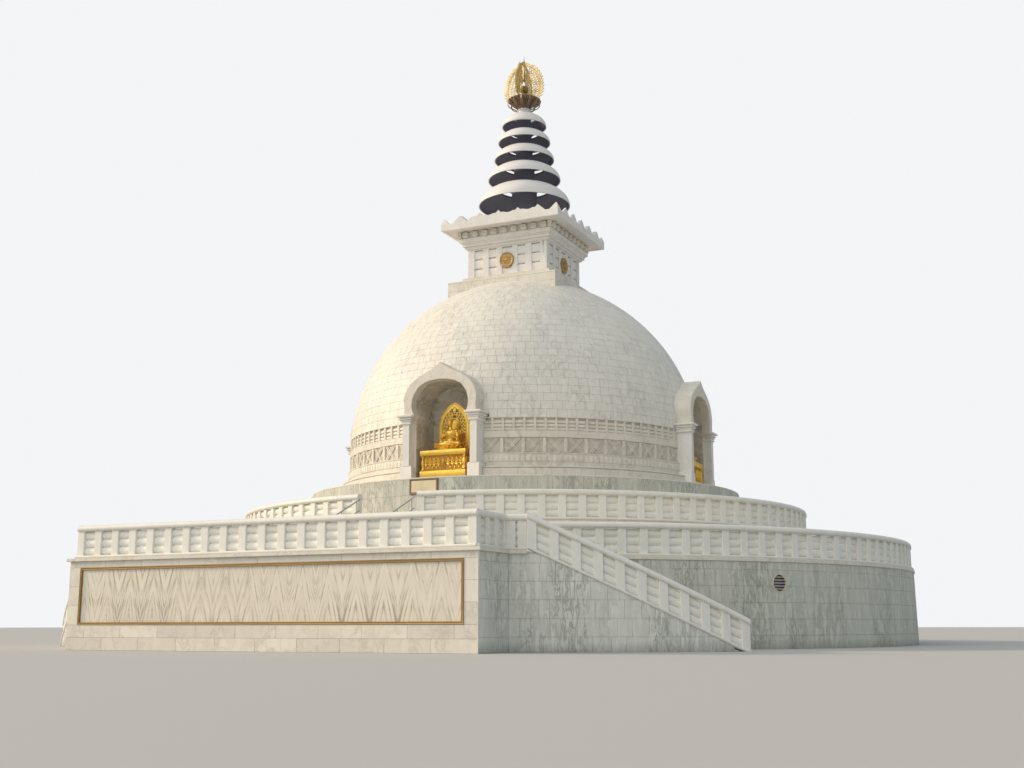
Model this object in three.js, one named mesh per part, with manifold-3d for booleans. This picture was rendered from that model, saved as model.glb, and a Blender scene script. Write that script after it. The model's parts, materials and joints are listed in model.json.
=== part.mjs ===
// A domed stupa of marble-faced masonry: two round terraces with rail fences, a drum
// with four arched niches and seated figures, the dome, the square chamber on top of it,
// a mast with five umbrellas and a gilt jewel. Millimetres, +Z up, front towards -Y.
// Angles are in degrees, measured from the front (-Y) towards +X.
import * as THREE from "three";
import { mergeVertices } from "three/addons/utils/BufferGeometryUtils.js";
import Module from "manifold-3d";

const wasm = await Module();
wasm.setup();

// Driving sizes.
const gap = 0.3; // between pieces that touch along cut or turned faces
const drumSides = 48;
const floorLow = 2950; // walking level of the lower terrace
const floorHigh = 4450; // walking level of the upper terrace
const slabThickness = 110;
const lowerRadius = 16600;
const upperRadius = 12350;
const thirdRadius = 9550;
const thirdTop = 6380;
const railHeight = 1090; // top of a rail fence above its floor
const railThickness = 250;
const copingHeight = 200;
const copingOverhang = 35;
const lowerRailRadius = 16525; // outer face of the posts
const upperRailRadius = 12355;
const stairOuterRadius = 19450;
const stairTopAngle = 24.3;
const riserCount = 20;
const treadAngle = 1;
const stairWallThickness = 300;
const blockHalfWidth = 7500;
const blockFront = -19950;
const ledgeReach = 100;
const gapHalfWidth = 1240; // way through the upper rail fence
const frontRisers = 10;
const frontTread = 340;
const domeCentre = 8450;
const domeRadius = 7930;
const drumRadius = 7950;
const drumTop = 8860;
const ringRadius = 8250;
const ringTop = 6880;
const nicheFront = -8350;
const nicheBack = -6300;
const boxHalf = 1980; // the square chamber on the dome
const boxBottom = 16450;
const boxTop = 17840;
const corniceHalf = 2920;
const corniceBottom = 18570;
const corniceTop = 18880;
const merlonTop = 19240;
const jewelBottom = 25680;
const jewelTop = 27700;
const spikeTop = 28000;

// Rim radius, rim height, crown height above the rim and mast radius under the hub.
const umbrellas = [
  { rim: 2170, z: 20300, crown: 1120, mast: 600 },
  { rim: 1728, z: 21580, crown: 870, mast: 490 },
  { rim: 1431, z: 22590, crown: 750, mast: 400 },
  { rim: 1253, z: 23470, crown: 680, mast: 350 },
  { rim: 1068, z: 24300, crown: 676, mast: 320 },
];
const neckRadius = 290;
const openCrown = 0.58; // share of an umbrella's radius that is open round the mast

// Materials.
const finishes = {
  marble: { color: 0xd9d4c6, roughness: 0.6, metalness: 0 },
  whiteMarble: { color: 0xe9e4d8, roughness: 0.55, metalness: 0 },
  greyMarble: { color: 0xa9aaa2, roughness: 0.65, metalness: 0 },
  whitePaint: { color: 0xe8e4e0, roughness: 0.5, metalness: 0 },
  gilt: { color: 0xd9a02c, roughness: 0.35, metalness: 1 },
  agedGilt: { color: 0xa88a4a, roughness: 0.4, metalness: 1 },
  brass: { color: 0xb08a50, roughness: 0.4, metalness: 1 },
  steel: { color: 0xa0a0a0, roughness: 0.35, metalness: 1 },
};

const stupa = new THREE.Group();

function add(name, geometry, finish) {
  const mesh = new THREE.Mesh(geometry, new THREE.MeshStandardMaterial(finishes[finish]));
  mesh.name = name;
  stupa.add(mesh);
  return mesh;
}

// The point at an angle, radius and height.
function polar(angle, radius, z = 0) {
  const a = THREE.MathUtils.degToRad(angle);
  return new THREE.Vector3(radius * Math.sin(a), -radius * Math.cos(a), z);
}

// A geometry with shared vertices and faces that point out.
function closed(geometry) {
  const bare = geometry.clone();
  bare.deleteAttribute("normal");
  bare.deleteAttribute("uv");
  const merged = mergeVertices(bare, 1e-3);
  const p = merged.attributes.position;
  const index = merged.index.array;
  const [a, b, c] = [new THREE.Vector3(), new THREE.Vector3(), new THREE.Vector3()];
  let volume = 0;
  for (let i = 0; i < index.length; i += 3) {
    a.fromBufferAttribute(p, index[i]);
    b.fromBufferAttribute(p, index[i + 1]);
    c.fromBufferAttribute(p, index[i + 2]);
    volume += a.dot(b.cross(c));
  }
  if (volume < 0) {
    for (let i = 0; i < index.length; i += 3) {
      [index[i + 1], index[i + 2]] = [index[i + 2], index[i + 1]];
    }
  }
  return merged;
}

function solid(geometry) {
  const g = closed(geometry);
  const vertProperties = new Float32Array(g.attributes.position.array);
  const triVerts = new Uint32Array(g.index.array);
  return new wasm.Manifold(new wasm.Mesh({ numProp: 3, vertProperties, triVerts }));
}

function shell(manifold) {
  const mesh = manifold.getMesh();
  const g = new THREE.BufferGeometry();
  g.setAttribute("position", new THREE.BufferAttribute(new Float32Array(mesh.vertProperties), 3));
  g.setIndex(new THREE.BufferAttribute(new Uint32Array(mesh.triVerts), 1));
  return g;
}

function join(...geometries) {
  return shell(geometries.map(solid).reduce((sum, next) => sum.add(next)));
}

function cut(body, ...tools) {
  return shell(tools.map(solid).reduce((rest, tool) => rest.subtract(tool), solid(body)));
}

function block(x0, x1, y0, y1, z0, z1) {
  const box = new THREE.BoxGeometry(x1 - x0, y1 - y0, z1 - z0);
  return box.translate((x0 + x1) / 2, (y0 + y1) / 2, (z0 + z1) / 2);
}

// A profile of [radius, z] points turned about the vertical axis.
function turned(profile, sides = drumSides) {
  const points = profile.map(([r, z]) => new THREE.Vector2(r, z));
  return closed(new THREE.LatheGeometry(points, sides).rotateX(Math.PI / 2));
}

// A vertical prism over plan points.
function prism(plan, z0, z1) {
  const shape = new THREE.Shape(plan.map((p) => new THREE.Vector2(p.x, p.y)));
  const options = { depth: z1 - z0, bevelEnabled: false };
  return new THREE.ExtrudeGeometry(shape, options).translate(0, 0, z0);
}

// A prism over an outline of [x, z] points, from y0 back to y1.
function facade(outline, y0, y1) {
  const shape = new THREE.Shape(outline.map(([x, z]) => new THREE.Vector2(x, z)));
  const options = { depth: y1 - y0, bevelEnabled: false };
  return new THREE.ExtrudeGeometry(shape, options).rotateX(Math.PI / 2).translate(0, y1, 0);
}

// A solid through equal closed outlines, with its two ends capped.
function skin(rings) {
  const n = rings[0].length;
  const positions = rings.flat().flatMap((p) => [p.x, p.y, p.z]);
  const index = [];
  for (let i = 0; i + 1 < rings.length; i++) {
    for (let j = 0; j < n; j++) {
      const [a, b] = [i * n + j, i * n + ((j + 1) % n)];
      index.push(a, b, b + n, a, b + n, a + n);
    }
  }
  const [o, u, w] = [rings[0][0], rings[0][1], rings[0][n - 1]];
  const normal = new THREE.Vector3().crossVectors(u.clone().sub(o), w.clone().sub(o)).normalize();
  const across = u.clone().sub(o).normalize();
  const up = new THREE.Vector3().crossVectors(normal, across);
  const flat = rings[0].map((p) => {
    const d = p.clone().sub(o);
    return new THREE.Vector2(d.dot(across), d.dot(up));
  });
  const last = (rings.length - 1) * n;
  const turn = THREE.ShapeUtils.isClockWise(flat) ? -1 : 1;
  for (const [a, b, c] of THREE.ShapeUtils.triangulateShape(flat, [])) {
    if (turn > 0) index.push(a, c, b, last + a, last + b, last + c);
    else index.push(a, b, c, last + a, last + c, last + b);
  }
  const g = new THREE.BufferGeometry();
  g.setAttribute("position", new THREE.Float32BufferAttribute(positions, 3));
  g.setIndex(index);
  return g;
}

// Evenly spaced angles, both ends included.
function spread(from, to, steps) {
  return Array.from({ length: steps + 1 }, (_, i) => from + ((to - from) * i) / steps);
}

// A profile of [radius, z] points, or a function of the angle that gives one, led through angles.
function arc(profile, angles) {
  const rings = angles.map((angle) => {
    const points = typeof profile === "function" ? profile(angle) : profile;
    return points.map(([r, z]) => polar(angle, r, z));
  });
  return closed(skin(rings));
}

// Plan points on an arc.
function arcPoints(radius, from, to, steps) {
  return spread(from, to, steps).map((angle) => polar(angle, radius));
}

// The section of a rail fence: posts and bars under a wider coping.
function railSection(outer, floor) {
  const inner = outer - railThickness;
  const top = floor + railHeight;
  const under = top - copingHeight;
  return [
    [outer, floor],
    [outer, under],
    [outer + copingOverhang, under],
    [outer + copingOverhang, top],
    [inner - copingOverhang, top],
    [inner - copingOverhang, under],
    [inner, under],
    [inner, floor],
  ];
}

// Two round terraces, each a drum with the floor slab as its ledge.
function terrace(radius, bottom, floor, reach) {
  const under = floor - slabThickness;
  return [
    [0, bottom],
    [radius + 40, bottom],
    [radius, under],
    [radius + reach, under],
    [radius + reach, floor],
    [0, floor],
  ];
}

const ventAngle = 54.8;
const ventHeight = 2150;
const ventRadius = 300;
const ventDepth = 180;
const ventSides = 20;

function ventHole(angle) {
  const bore = new THREE.CylinderGeometry(ventRadius, ventRadius, 600, ventSides);
  const at = polar(angle, lowerRadius + 300 - ventDepth, ventHeight);
  return bore.rotateZ(THREE.MathUtils.degToRad(angle)).translate(at.x, at.y, at.z);
}

function addLowerTerrace() {
  const drum = turned(terrace(lowerRadius, 0, floorLow, 40));
  add("lower_terrace", cut(drum, ventHole(ventAngle), ventHole(-ventAngle)), "greyMarble");
}

// A round grille of four bars in its rim.
function addVent(name, angle) {
  const rim = ventRadius - gap;
  const inside = rim - 45;
  const ring = turned([[inside, -60], [rim, -60], [rim, 60], [inside, 60], [inside, -60]], ventSides);
  ring.rotateX(Math.PI / 2);
  const bars = [-0.6, -0.2, 0.2, 0.6].map((share) => {
    const z = share * rim;
    const half = Math.sqrt(rim * rim - z * z) - 20;
    return block(-half, half, -18, 18, z - 14, z + 14);
  });
  const grille = join(ring, ...bars);
  const at = polar(angle, lowerRadius - 50, ventHeight);
  grille.rotateZ(THREE.MathUtils.degToRad(angle)).translate(at.x, at.y, at.z);
  add(name, grille, "brass");
}

const railParts = 4;
const railSteps = 12;

function addRailArcs(prefix, outer, floor, from) {
  const span = (360 - 2 * from) / railParts;
  for (let i = 0; i < railParts; i++) {
    const seam = THREE.MathUtils.radToDeg(2 / outer); // a 4 mm joint between lengths
    const start = from + i * span + (i ? seam : 0);
    const end = from + (i + 1) * span - (i < railParts - 1 ? seam : 0);
    const length = arc(railSection(outer, floor), spread(start, end, railSteps));
    add(`${prefix}_${i + 1}`, length, "whiteMarble");
  }
}

// The landing block in front of the lower terrace and its panel.
const landingSteps = 16;
const blockTurn = THREE.MathUtils.radToDeg(Math.asin(blockHalfWidth / stairOuterRadius));

function landingPlan(reach) {
  const half = blockHalfWidth + reach;
  const outer = stairOuterRadius + reach;
  const turn = THREE.MathUtils.radToDeg(Math.asin(half / outer));
  const chord = Math.cos(THREE.MathUtils.degToRad(stairTopAngle / landingSteps));
  const inner = (lowerRadius + 40) / chord + gap;
  return [
    new THREE.Vector3(-half, blockFront - reach),
    new THREE.Vector3(half, blockFront - reach),
    ...arcPoints(outer, turn, stairTopAngle, 2),
    ...arcPoints(inner, stairTopAngle, -stairTopAngle, landingSteps),
    ...arcPoints(outer, -stairTopAngle, -turn, 2),
  ];
}

const panel = { half: 7050, bottom: 800, top: 2640, recess: 90, frame: 80 };

function addFrontBlock() {
  const under = floorLow - slabThickness;
  const body = prism(landingPlan(0), 0, under + 1);
  const slab = prism(landingPlan(ledgeReach), under, floorLow);
  const back = blockFront + panel.recess;
  const plate = (inset, y0, y1) => {
    const half = panel.half - inset;
    return block(-half, half, y0, y1, panel.bottom + inset, panel.top - inset);
  };
  add("front_block", cut(join(body, slab), plate(0, blockFront - 100, back)), "greyMarble");
  const frame = plate(gap, blockFront - 20, back - gap);
  add("front_panel_frame", cut(frame, plate(panel.frame, blockFront - 100, back + 100)), "brass");
  add("front_panel", plate(panel.frame + gap, blockFront + 40, back - gap), "marble");
}

// A wall of a thickness along plan points, inside of them.
function along(points, inset, thickness, z0, z1) {
  const side = (d) =>
    points.map((p, i) => {
      const before = points[Math.max(i - 1, 0)];
      const after = points[Math.min(i + 1, points.length - 1)];
      const [e, f] = [p.clone().sub(before), after.clone().sub(p)].map((v) => v.setZ(0));
      const a = (e.length() ? e : f).clone().normalize();
      const b = (f.length() ? f : e).clone().normalize();
      const mean = a.clone().add(b).normalize();
      const reach = d / Math.max(mean.dot(a), 0.3);
      return new THREE.Vector3(p.x - mean.y * reach, p.y + mean.x * reach, 0);
    });
  return prism([...side(inset), ...side(inset + thickness).reverse()], z0, z1);
}

function addFrontRail() {
  const set = 120; // from the wall's face to the posts' face
  const half = blockHalfWidth;
  const outer = stairOuterRadius;
  const end = stairTopAngle - 0.02; // clear of the stair's own rail
  const path = [
    ...arcPoints(outer, -end, -blockTurn, 2),
    new THREE.Vector3(-half, blockFront),
    new THREE.Vector3(half, blockFront),
    ...arcPoints(outer, blockTurn, end, 2),
  ];
  const top = floorLow + railHeight;
  const fence = along(path, set, railThickness, floorLow, top - copingHeight + 1);
  const wide = railThickness + 2 * copingOverhang;
  const coping = along(path, set - copingOverhang, wide, top - copingHeight, top);
  add("front_rail", join(fence, coping), "whiteMarble");
}

// The curved stairs on both sides of the landing, +1 right and -1 left.
const riser = floorLow / riserCount;
const stairInner = lowerRadius + 42;
const stairWallInner = stairOuterRadius - stairWallThickness;
const railSlope = 154; // fall of the stair's coping for each degree
const stairEndAngle = 44.5;

function copingTop(angle) {
  return floorLow + railHeight - railSlope * (Math.abs(angle) - stairTopAngle);
}

function addStair(side, sign) {
  const treads = [];
  const seam = 0.002;
  const start = stairTopAngle + seam;
  const edges = spread(0, riserCount, riserCount).map((i) => stairTopAngle + treadAngle * i);
  const until = (end) => [start, ...edges.slice(1).filter((a) => a < end), end].map((a) => sign * a);
  for (let i = 1; i < riserCount; i++) {
    const [z0, z1] = [0, floorLow - riser * i];
    const out = stairWallInner - gap;
    const ring = [[stairInner, z0], [out, z0], [out, z1], [stairInner, z1]];
    treads.push(arc(ring, until(edges[i])));
  }
  add(`stair_${side}_flight`, join(...treads), "greyMarble");

  const ledge = railHeight + 100;
  const wallEnd = stairTopAngle + (floorLow + railHeight - ledge) / railSlope;
  const wall = (angle) => {
    const top = Math.max(copingTop(angle) - ledge, 1);
    const [a, b] = [stairWallInner, stairOuterRadius];
    return [[a, 0], [b, 0], [b, top], [a, top]];
  };
  add(`stair_${side}_wall`, arc(wall, until(wallEnd)), "greyMarble");

  const rail = (angle) => {
    const top = copingTop(angle);
    const low = Math.max(top - ledge + gap, 0);
    const under = top - copingHeight;
    const out = stairOuterRadius - 40;
    const inn = stairWallInner + 10;
    const wide = copingOverhang;
    return [[inn, low], [out, low], [out, under], [out + wide, under], [out + wide, top],
      [inn - wide, top], [inn - wide, under], [inn, under]];
  };
  add(`stair_${side}_rail`, arc(rail, until(stairEndAngle)), "whiteMarble");
}

const plaqueDepth = 90;

function addUpperTerrace() {
  add("upper_terrace", turned(terrace(upperRadius - 40, floorLow, floorHigh, 90)), "greyMarble");
  const section = [[0, floorHigh], [thirdRadius, floorHigh], [thirdRadius, thirdTop], [0, thirdTop]];
  const drum = turned(section);
  const plaque = (grow, proud) => {
    const back = plaqueDepth + grow - thirdRadius;
    return block(-620 - grow, 620 + grow, -thirdRadius - proud, back, 5730 - grow, 6330 + grow);
  };
  add("third_drum", cut(drum, plaque(gap, 400)), "greyMarble");
  add("front_plaque", plaque(0, 40), "brass");
}

// Ten risers up to the upper terrace, the floor being the last.
function addFrontSteps() {
  const back = -upperRadius - gap;
  const rise = (floorHigh - floorLow) / frontRisers;
  const points = [[back, floorLow]];
  for (let i = 1; i < frontRisers; i++) {
    const y = back - frontTread * (frontRisers - i);
    points.push([y, floorLow + rise * (i - 1)], [y, floorLow + rise * i]);
  }
  points.push([back, floorLow + rise * (frontRisers - 1)]);
  const outline = [...points.slice(1), points[0]];
  const shape = new THREE.Shape(outline.map(([y, z]) => new THREE.Vector2(y, z)));
  const width = 2 * gapHalfWidth;
  const steps = new THREE.ExtrudeGeometry(shape, { depth: width, bevelEnabled: false });
  steps.applyMatrix4(new THREE.Matrix4().makeBasis(
    new THREE.Vector3(0, 1, 0), new THREE.Vector3(0, 0, 1), new THREE.Vector3(1, 0, 0),
  ));
  add("front_steps", steps.translate(-gapHalfWidth, 0, 0), "greyMarble");
}

// A rod between two points.
function rod(from, to, radius, sides = 8) {
  const path = new THREE.LineCurve3(from, to);
  const circle = new THREE.Shape(
    Array.from({ length: sides }, (_, i) => {
      const a = (2 * Math.PI * i) / sides;
      return new THREE.Vector2(radius * Math.cos(a), radius * Math.sin(a));
    }),
  );
  return new THREE.ExtrudeGeometry(circle, { steps: 1, bevelEnabled: false, extrudePath: path });
}

function addHandrail(name, x) {
  const rise = (floorHigh - floorLow) / frontRisers;
  const back = -upperRadius - gap;
  const above = 850;
  const stand = (i) => {
    const y = back - frontTread * (i - 0.5);
    const foot = floorHigh - rise * i;
    return [new THREE.Vector3(x, y, foot), new THREE.Vector3(x, y, foot + above + rise / 2)];
  };
  const feet = [1, 4, 7].map(stand);
  const posts = feet.map(([a, b]) => rod(a, b, 22));
  const run = feet[2][1].clone().sub(feet[0][1]).multiplyScalar(1 / 6);
  const rails = [0, 400].map((drop) => {
    const a = feet[0][1].clone().addScaledVector(run, -0.6).setZ(feet[0][1].z - run.z * 0.6 - drop);
    const b = feet[2][1].clone().addScaledVector(run, 1.2).setZ(feet[2][1].z + run.z * 1.2 - drop);
    return rod(a, b, 25);
  });
  add(name, join(...posts, ...rails), "steel");
}

// The niche: outline of the arch outside and inside, right half from the foot to the tip.
const outerArch = [[1620, 9080], [1600, 9350], [1640, 9700], [1540, 10050], [1330, 10350], [1000, 10590],
  [650, 10770], [280, 10950]];
const outerTip = 11170;
const innerArch = [[1140, 9060], [1220, 9200], [1270, 9500], [1200, 9850], [1030, 10110], [880, 10240],
  [480, 10410]];
const innerTip = 10470;
const nicheFloor = 6520;

function archOutline(half, tip, foot, grow = 0) {
  const right = [[half[0][0], foot], ...half].map(([x, z]) => [x + grow, z + (z > foot ? grow : 0)]);
  const left = right.map(([x, z]) => [-x, z]).reverse();
  return [...right, [0, tip + grow], ...left];
}

// Base, shaft and capital of the pillars beside the arch: inner and outer x, front reach, foot and top.
const pillar = [
  [1240, 1780, 60, thirdTop, 7040],
  [1360, 1660, 0, 7030, 8730],
  [1270, 1770, 60, 8720, 8900],
  [1160, 1880, 120, 8890, 9080],
];
const pillarBack = -7500;

function pillars(grow) {
  return [-1, 1].flatMap((side) =>
    pillar.map(([x0, x1, reach, z0, z1]) => {
      const [a, b] = [side * (x0 - grow), side * (x1 + grow)];
      const [y0, y1] = [nicheFront - reach - grow, pillarBack + grow];
      return block(Math.min(a, b), Math.max(a, b), y0, y1, z0 - grow, z1 + grow);
    }),
  );
}

const quarters = [["front", 0], ["right", 90], ["back", 180], ["left", -90]];

function quarterTurn(geometry, angle) {
  return geometry.clone().rotateZ(THREE.MathUtils.degToRad(angle));
}

// What a niche takes out of the drum and the dome.
function nicheCutter() {
  const outline = archOutline(outerArch, outerTip, thirdTop - 20, gap);
  const arch = facade(outline, nicheFront - 900, nicheBack + gap);
  return join(arch, ...pillars(gap));
}

function nicheBody() {
  const wall = facade(archOutline(outerArch, outerTip, thirdTop), nicheFront + 330, nicheBack);
  const faceOutline = archOutline([[1620, 9060], ...outerArch], outerTip, 9050);
  const archFace = facade(faceOutline, nicheFront, nicheBack);
  const opening = [[1230, 8720], [1230, 8900], ...innerArch];
  const hollow = facade(archOutline(opening, innerTip, nicheFloor), nicheFront - 900, nicheBack - 220);
  return cut(join(wall, archFace, ...pillars(0)), hollow);
}

function addDome() {
  const holes = quarters.map(([, angle]) => quarterTurn(nicheCutter(), angle));
  const ring = turned([[0, thirdTop], [ringRadius, thirdTop], [ringRadius, ringTop], [0, ringTop]]);
  add("dome_ring", cut(ring, ...holes), "whiteMarble");
  const bands = [
    [0, ringTop], [drumRadius + 40, ringTop], [drumRadius + 40, 7440], [drumRadius - 20, 7440],
    [drumRadius - 20, drumTop], [0, drumTop],
  ];
  add("dome_drum", cut(turned(bands), ...holes), "marble");
  const profile = [[0, drumTop]];
  const rings = 7;
  const start = Math.asin((drumTop - domeCentre) / domeRadius);
  for (let i = 0; i <= rings; i++) {
    const lift = start + ((Math.PI / 2 - start) * i) / rings;
    const radius = i === rings ? 0 : domeRadius * Math.cos(lift);
    profile.push([radius, domeCentre + domeRadius * Math.sin(lift)]);
  }
  const half = plinthHalf + gap;
  const seat = block(-half, half, -half, half, plinthSeat, 20000);
  add("dome", cut(turned(profile), ...holes, seat), "marble");
}

const plinthHalf = 2660;
const plinthSeat = 15380;

// The seated figure with its lotus seat and flame halo, and the pedestal.
const figureY = -7450;

function egg(x, y, z, rx, ry, rz, sides = 10) {
  const ball = new THREE.SphereGeometry(1, sides, sides / 2).rotateX(Math.PI / 2);
  return ball.scale(rx, ry, rz).translate(x, y, z);
}

function pedestal() {
  return join(
    block(-1020, 1020, -8060, -6620, nicheFloor, 6800),
    block(-950, 950, -8000, -6680, 6799, 7451),
    block(-1020, 1020, -8060, -6620, 7450, 7650),
  );
}

function figure() {
  const seatProfile = [[0, 7650], [600, 7650], [510, 7790], [640, 7950], [0, 7950]];
  const seat = turned(seatProfile, 12).translate(0, figureY, 0);
  const bodyProfile = [[0, 7940], [330, 7940], [240, 8300], [290, 8580], [80, 8740], [75, 8840], [0, 8840]];
  const body = turned(bodyProfile, 8).scale(1, 0.7, 1).translate(0, figureY + 60, 0);
  const parts = [
    seat, body,
    egg(0, figureY - 90, 8040, 590, 360, 130, 10),
    egg(0, figureY + 40, 8930, 118, 135, 160, 8),
    egg(0, figureY + 60, 9090, 60, 60, 60, 6),
  ];
  for (const s of [-1, 1]) {
    const limb = (from, to, radius) => rod(new THREE.Vector3(...from), new THREE.Vector3(...to), radius, 5);
    parts.push(limb([s * 275, figureY + 60, 8600], [s * 360, figureY - 20, 8260], 75));
    parts.push(limb([s * 350, figureY - 10, 8290], [s * 60, figureY - 270, 8190], 62));
  }
  const halo = [];
  const [bottom, top, half] = [7650, 9700, 700];
  for (let i = 0; i <= 7; i++) {
    const t = i / 7;
    const width = i === 7 ? 0 : half * Math.pow(Math.sin(Math.PI * (0.22 + 0.78 * t)), 0.75);
    halo.push([width, bottom + (top - bottom) * t]);
  }
  const outline = [...halo, ...halo.slice(0, -1).map(([x, z]) => [-x, z]).reverse()];
  parts.push(facade(outline, figureY + 400, figureY + 490));
  return join(...parts);
}

function addNiches() {
  const [body, base, statue] = [nicheBody(), pedestal(), figure()];
  for (const [side, angle] of quarters) {
    add(`niche_${side}`, quarterTurn(body, angle), "marble");
    add(`pedestal_${side}`, quarterTurn(base, angle), "gilt");
    add(`figure_${side}`, quarterTurn(statue, angle), "gilt");
  }
}

// A four-sided frustum between two half widths.
function taper(low, high, z0, z1) {
  const side = Math.SQRT2;
  const cone = new THREE.CylinderGeometry(high * side, low * side, z1 - z0, 4);
  return cone.rotateX(Math.PI / 2).rotateZ(Math.PI / 4).translate(0, 0, (z0 + z1) / 2);
}

const merlonCount = 7;

function merlons() {
  const [half, depth] = [corniceHalf, 160];
  const pitch = (2 * half) / merlonCount;
  const points = [[-half, corniceTop - 5], [half, corniceTop - 5]];
  for (let i = merlonCount; i > 0; i--) {
    const x = -half + pitch * i;
    const low = corniceTop + 120;
    if (i === merlonCount) points.push([x, merlonTop]);
    points.push([x - 0.22 * pitch, low], [x - 0.5 * pitch, merlonTop - 60], [x - 0.78 * pitch, low]);
  }
  points.push([-half, merlonTop]);
  const front = facade(points, -half, -half + depth);
  return [0, 90, 180, 270].map((angle) => quarterTurn(front, angle));
}

function addChamber() {
  const plinth = join(
    block(-plinthHalf, plinthHalf, -plinthHalf, plinthHalf, plinthSeat, 16190),
    block(-2170, 2170, -2170, 2170, 16189, boxBottom),
  );
  add("chamber_plinth", plinth, "whiteMarble");
  const mouldingHalf = boxHalf + 120;
  const body = join(
    block(-boxHalf, boxHalf, -boxHalf, boxHalf, boxBottom, boxTop + 1),
    block(-mouldingHalf, mouldingHalf, -mouldingHalf, mouldingHalf, boxTop, 17960),
  );
  add("chamber", body, "marble");
  const cornice = join(
    block(-2230, 2230, -2230, 2230, 17960, 18081),
    taper(2230, 2860, 18080, corniceBottom + 1),
    block(-corniceHalf, corniceHalf, -corniceHalf, corniceHalf, corniceBottom, corniceTop),
    ...merlons(),
  );
  add("chamber_cornice", cornice, "whiteMarble");
}

// The mast steps in at each hub, so that each hub rests on a shoulder.
const mastSides = 12;
const shellSides = 24;
const shellThickness = 70;
const hubHeight = 120;
const hubBottom = (u) => u.z + u.crown * Math.sqrt(1 - openCrown * openCrown) - hubHeight;

function addMast() {
  const foot = umbrellas[0].mast;
  const profile = [[0, corniceTop], [foot + 60, corniceTop], [foot, corniceTop + 300]];
  umbrellas.forEach((u, i) => {
    const above = i + 1 < umbrellas.length ? umbrellas[i + 1].mast : neckRadius;
    profile.push([u.mast, hubBottom(u)], [above, hubBottom(u)]);
  });
  profile.push([neckRadius, cupBottom], [0, cupBottom]);
  add("mast", turned(profile, mastSides), "whitePaint");
}

const cupBottom = 25210;

function addUmbrella(u, i) {
  const above = i + 1 < umbrellas.length ? umbrellas[i + 1].mast : neckRadius;
  const steps = 3;
  const endLift = Math.acos(openCrown);
  const curve = (r, h) =>
    Array.from({ length: steps + 1 }, (_, k) => {
      const lift = (endLift * k) / steps;
      return [r * Math.cos(lift), u.z + h * Math.sin(lift)];
    });
  const outside = curve(u.rim, u.crown);
  const inside = curve(u.rim - shellThickness, u.crown - shellThickness).reverse();
  const profile = [...outside, ...inside, outside[0]];
  const low = hubBottom(u);
  const hubInner = above + gap;
  const hubOuter = u.mast + 30;
  const high = low + hubHeight;
  const hub = [[hubInner, low], [hubOuter, low], [hubOuter, high], [hubInner, high], [hubInner, low]];
  const reach = u.rim * openCrown + 20;
  const spokes = [0, 90, 180, 270].map((angle) => {
    const bar = block(hubOuter - 40, reach, -35, 35, low + 20, low + hubHeight - 20);
    return bar.rotateZ(THREE.MathUtils.degToRad(angle + 15));
  });
  const whole = join(turned(profile, shellSides), turned(hub, mastSides), ...spokes);
  add(`umbrella_${i + 1}`, whole, "whitePaint");
}

function addFinial() {
  const cup = [
    [0, cupBottom], [neckRadius + 30, cupBottom], [480, 25300], [700, 25500], [820, jewelBottom],
    [0, jewelBottom],
  ];
  add("lotus_cup", turned(cup, 20), "agedGilt");
  const half = 1000;
  const height = jewelTop - jewelBottom;
  const outline = [];
  const steps = 8;
  for (let i = 0; i <= steps; i++) {
    const t = i / steps;
    const width = half * Math.pow(Math.sin(Math.PI * (0.2 + 0.8 * t)), 0.8);
    outline.push([i === steps ? 30 : width, jewelBottom + height * t]);
  }
  const flame = [...outline, ...outline.map(([x, z]) => [-x, z]).reverse()];
  const plate = facade(flame, -30, 30);
  const spikeFoot = jewelTop - 400;
  const spike = turned([[0, spikeFoot], [50, spikeFoot], [30, jewelTop], [8, spikeTop], [0, spikeTop]], 8);
  const jewel = join(plate, quarterTurn(plate, 90), egg(0, 0, 26230, 330, 330, 330), spike);
  add("flame_jewel", jewel, "agedGilt");
}

addLowerTerrace();
addVent("vent_right", ventAngle);
addVent("vent_left", -ventAngle);
addRailArcs("lower_rail", lowerRailRadius, floorLow, stairTopAngle);
addFrontBlock();
addFrontRail();
addStair("right", 1);
addStair("left", -1);
addUpperTerrace();
const upperGapAngle = THREE.MathUtils.radToDeg(Math.asin(gapHalfWidth / upperRailRadius));
addRailArcs("upper_rail", upperRailRadius, floorHigh, upperGapAngle);
addFrontSteps();
addHandrail("handrail_right", gapHalfWidth - 90);
addHandrail("handrail_left", 90 - gapHalfWidth);
addDome();
addNiches();
addChamber();
addMast();
umbrellas.forEach(addUmbrella);
addFinial();

export default stupa;
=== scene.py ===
import json
import math
import bmesh
import bpy
from mathutils import Matrix, Vector

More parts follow.
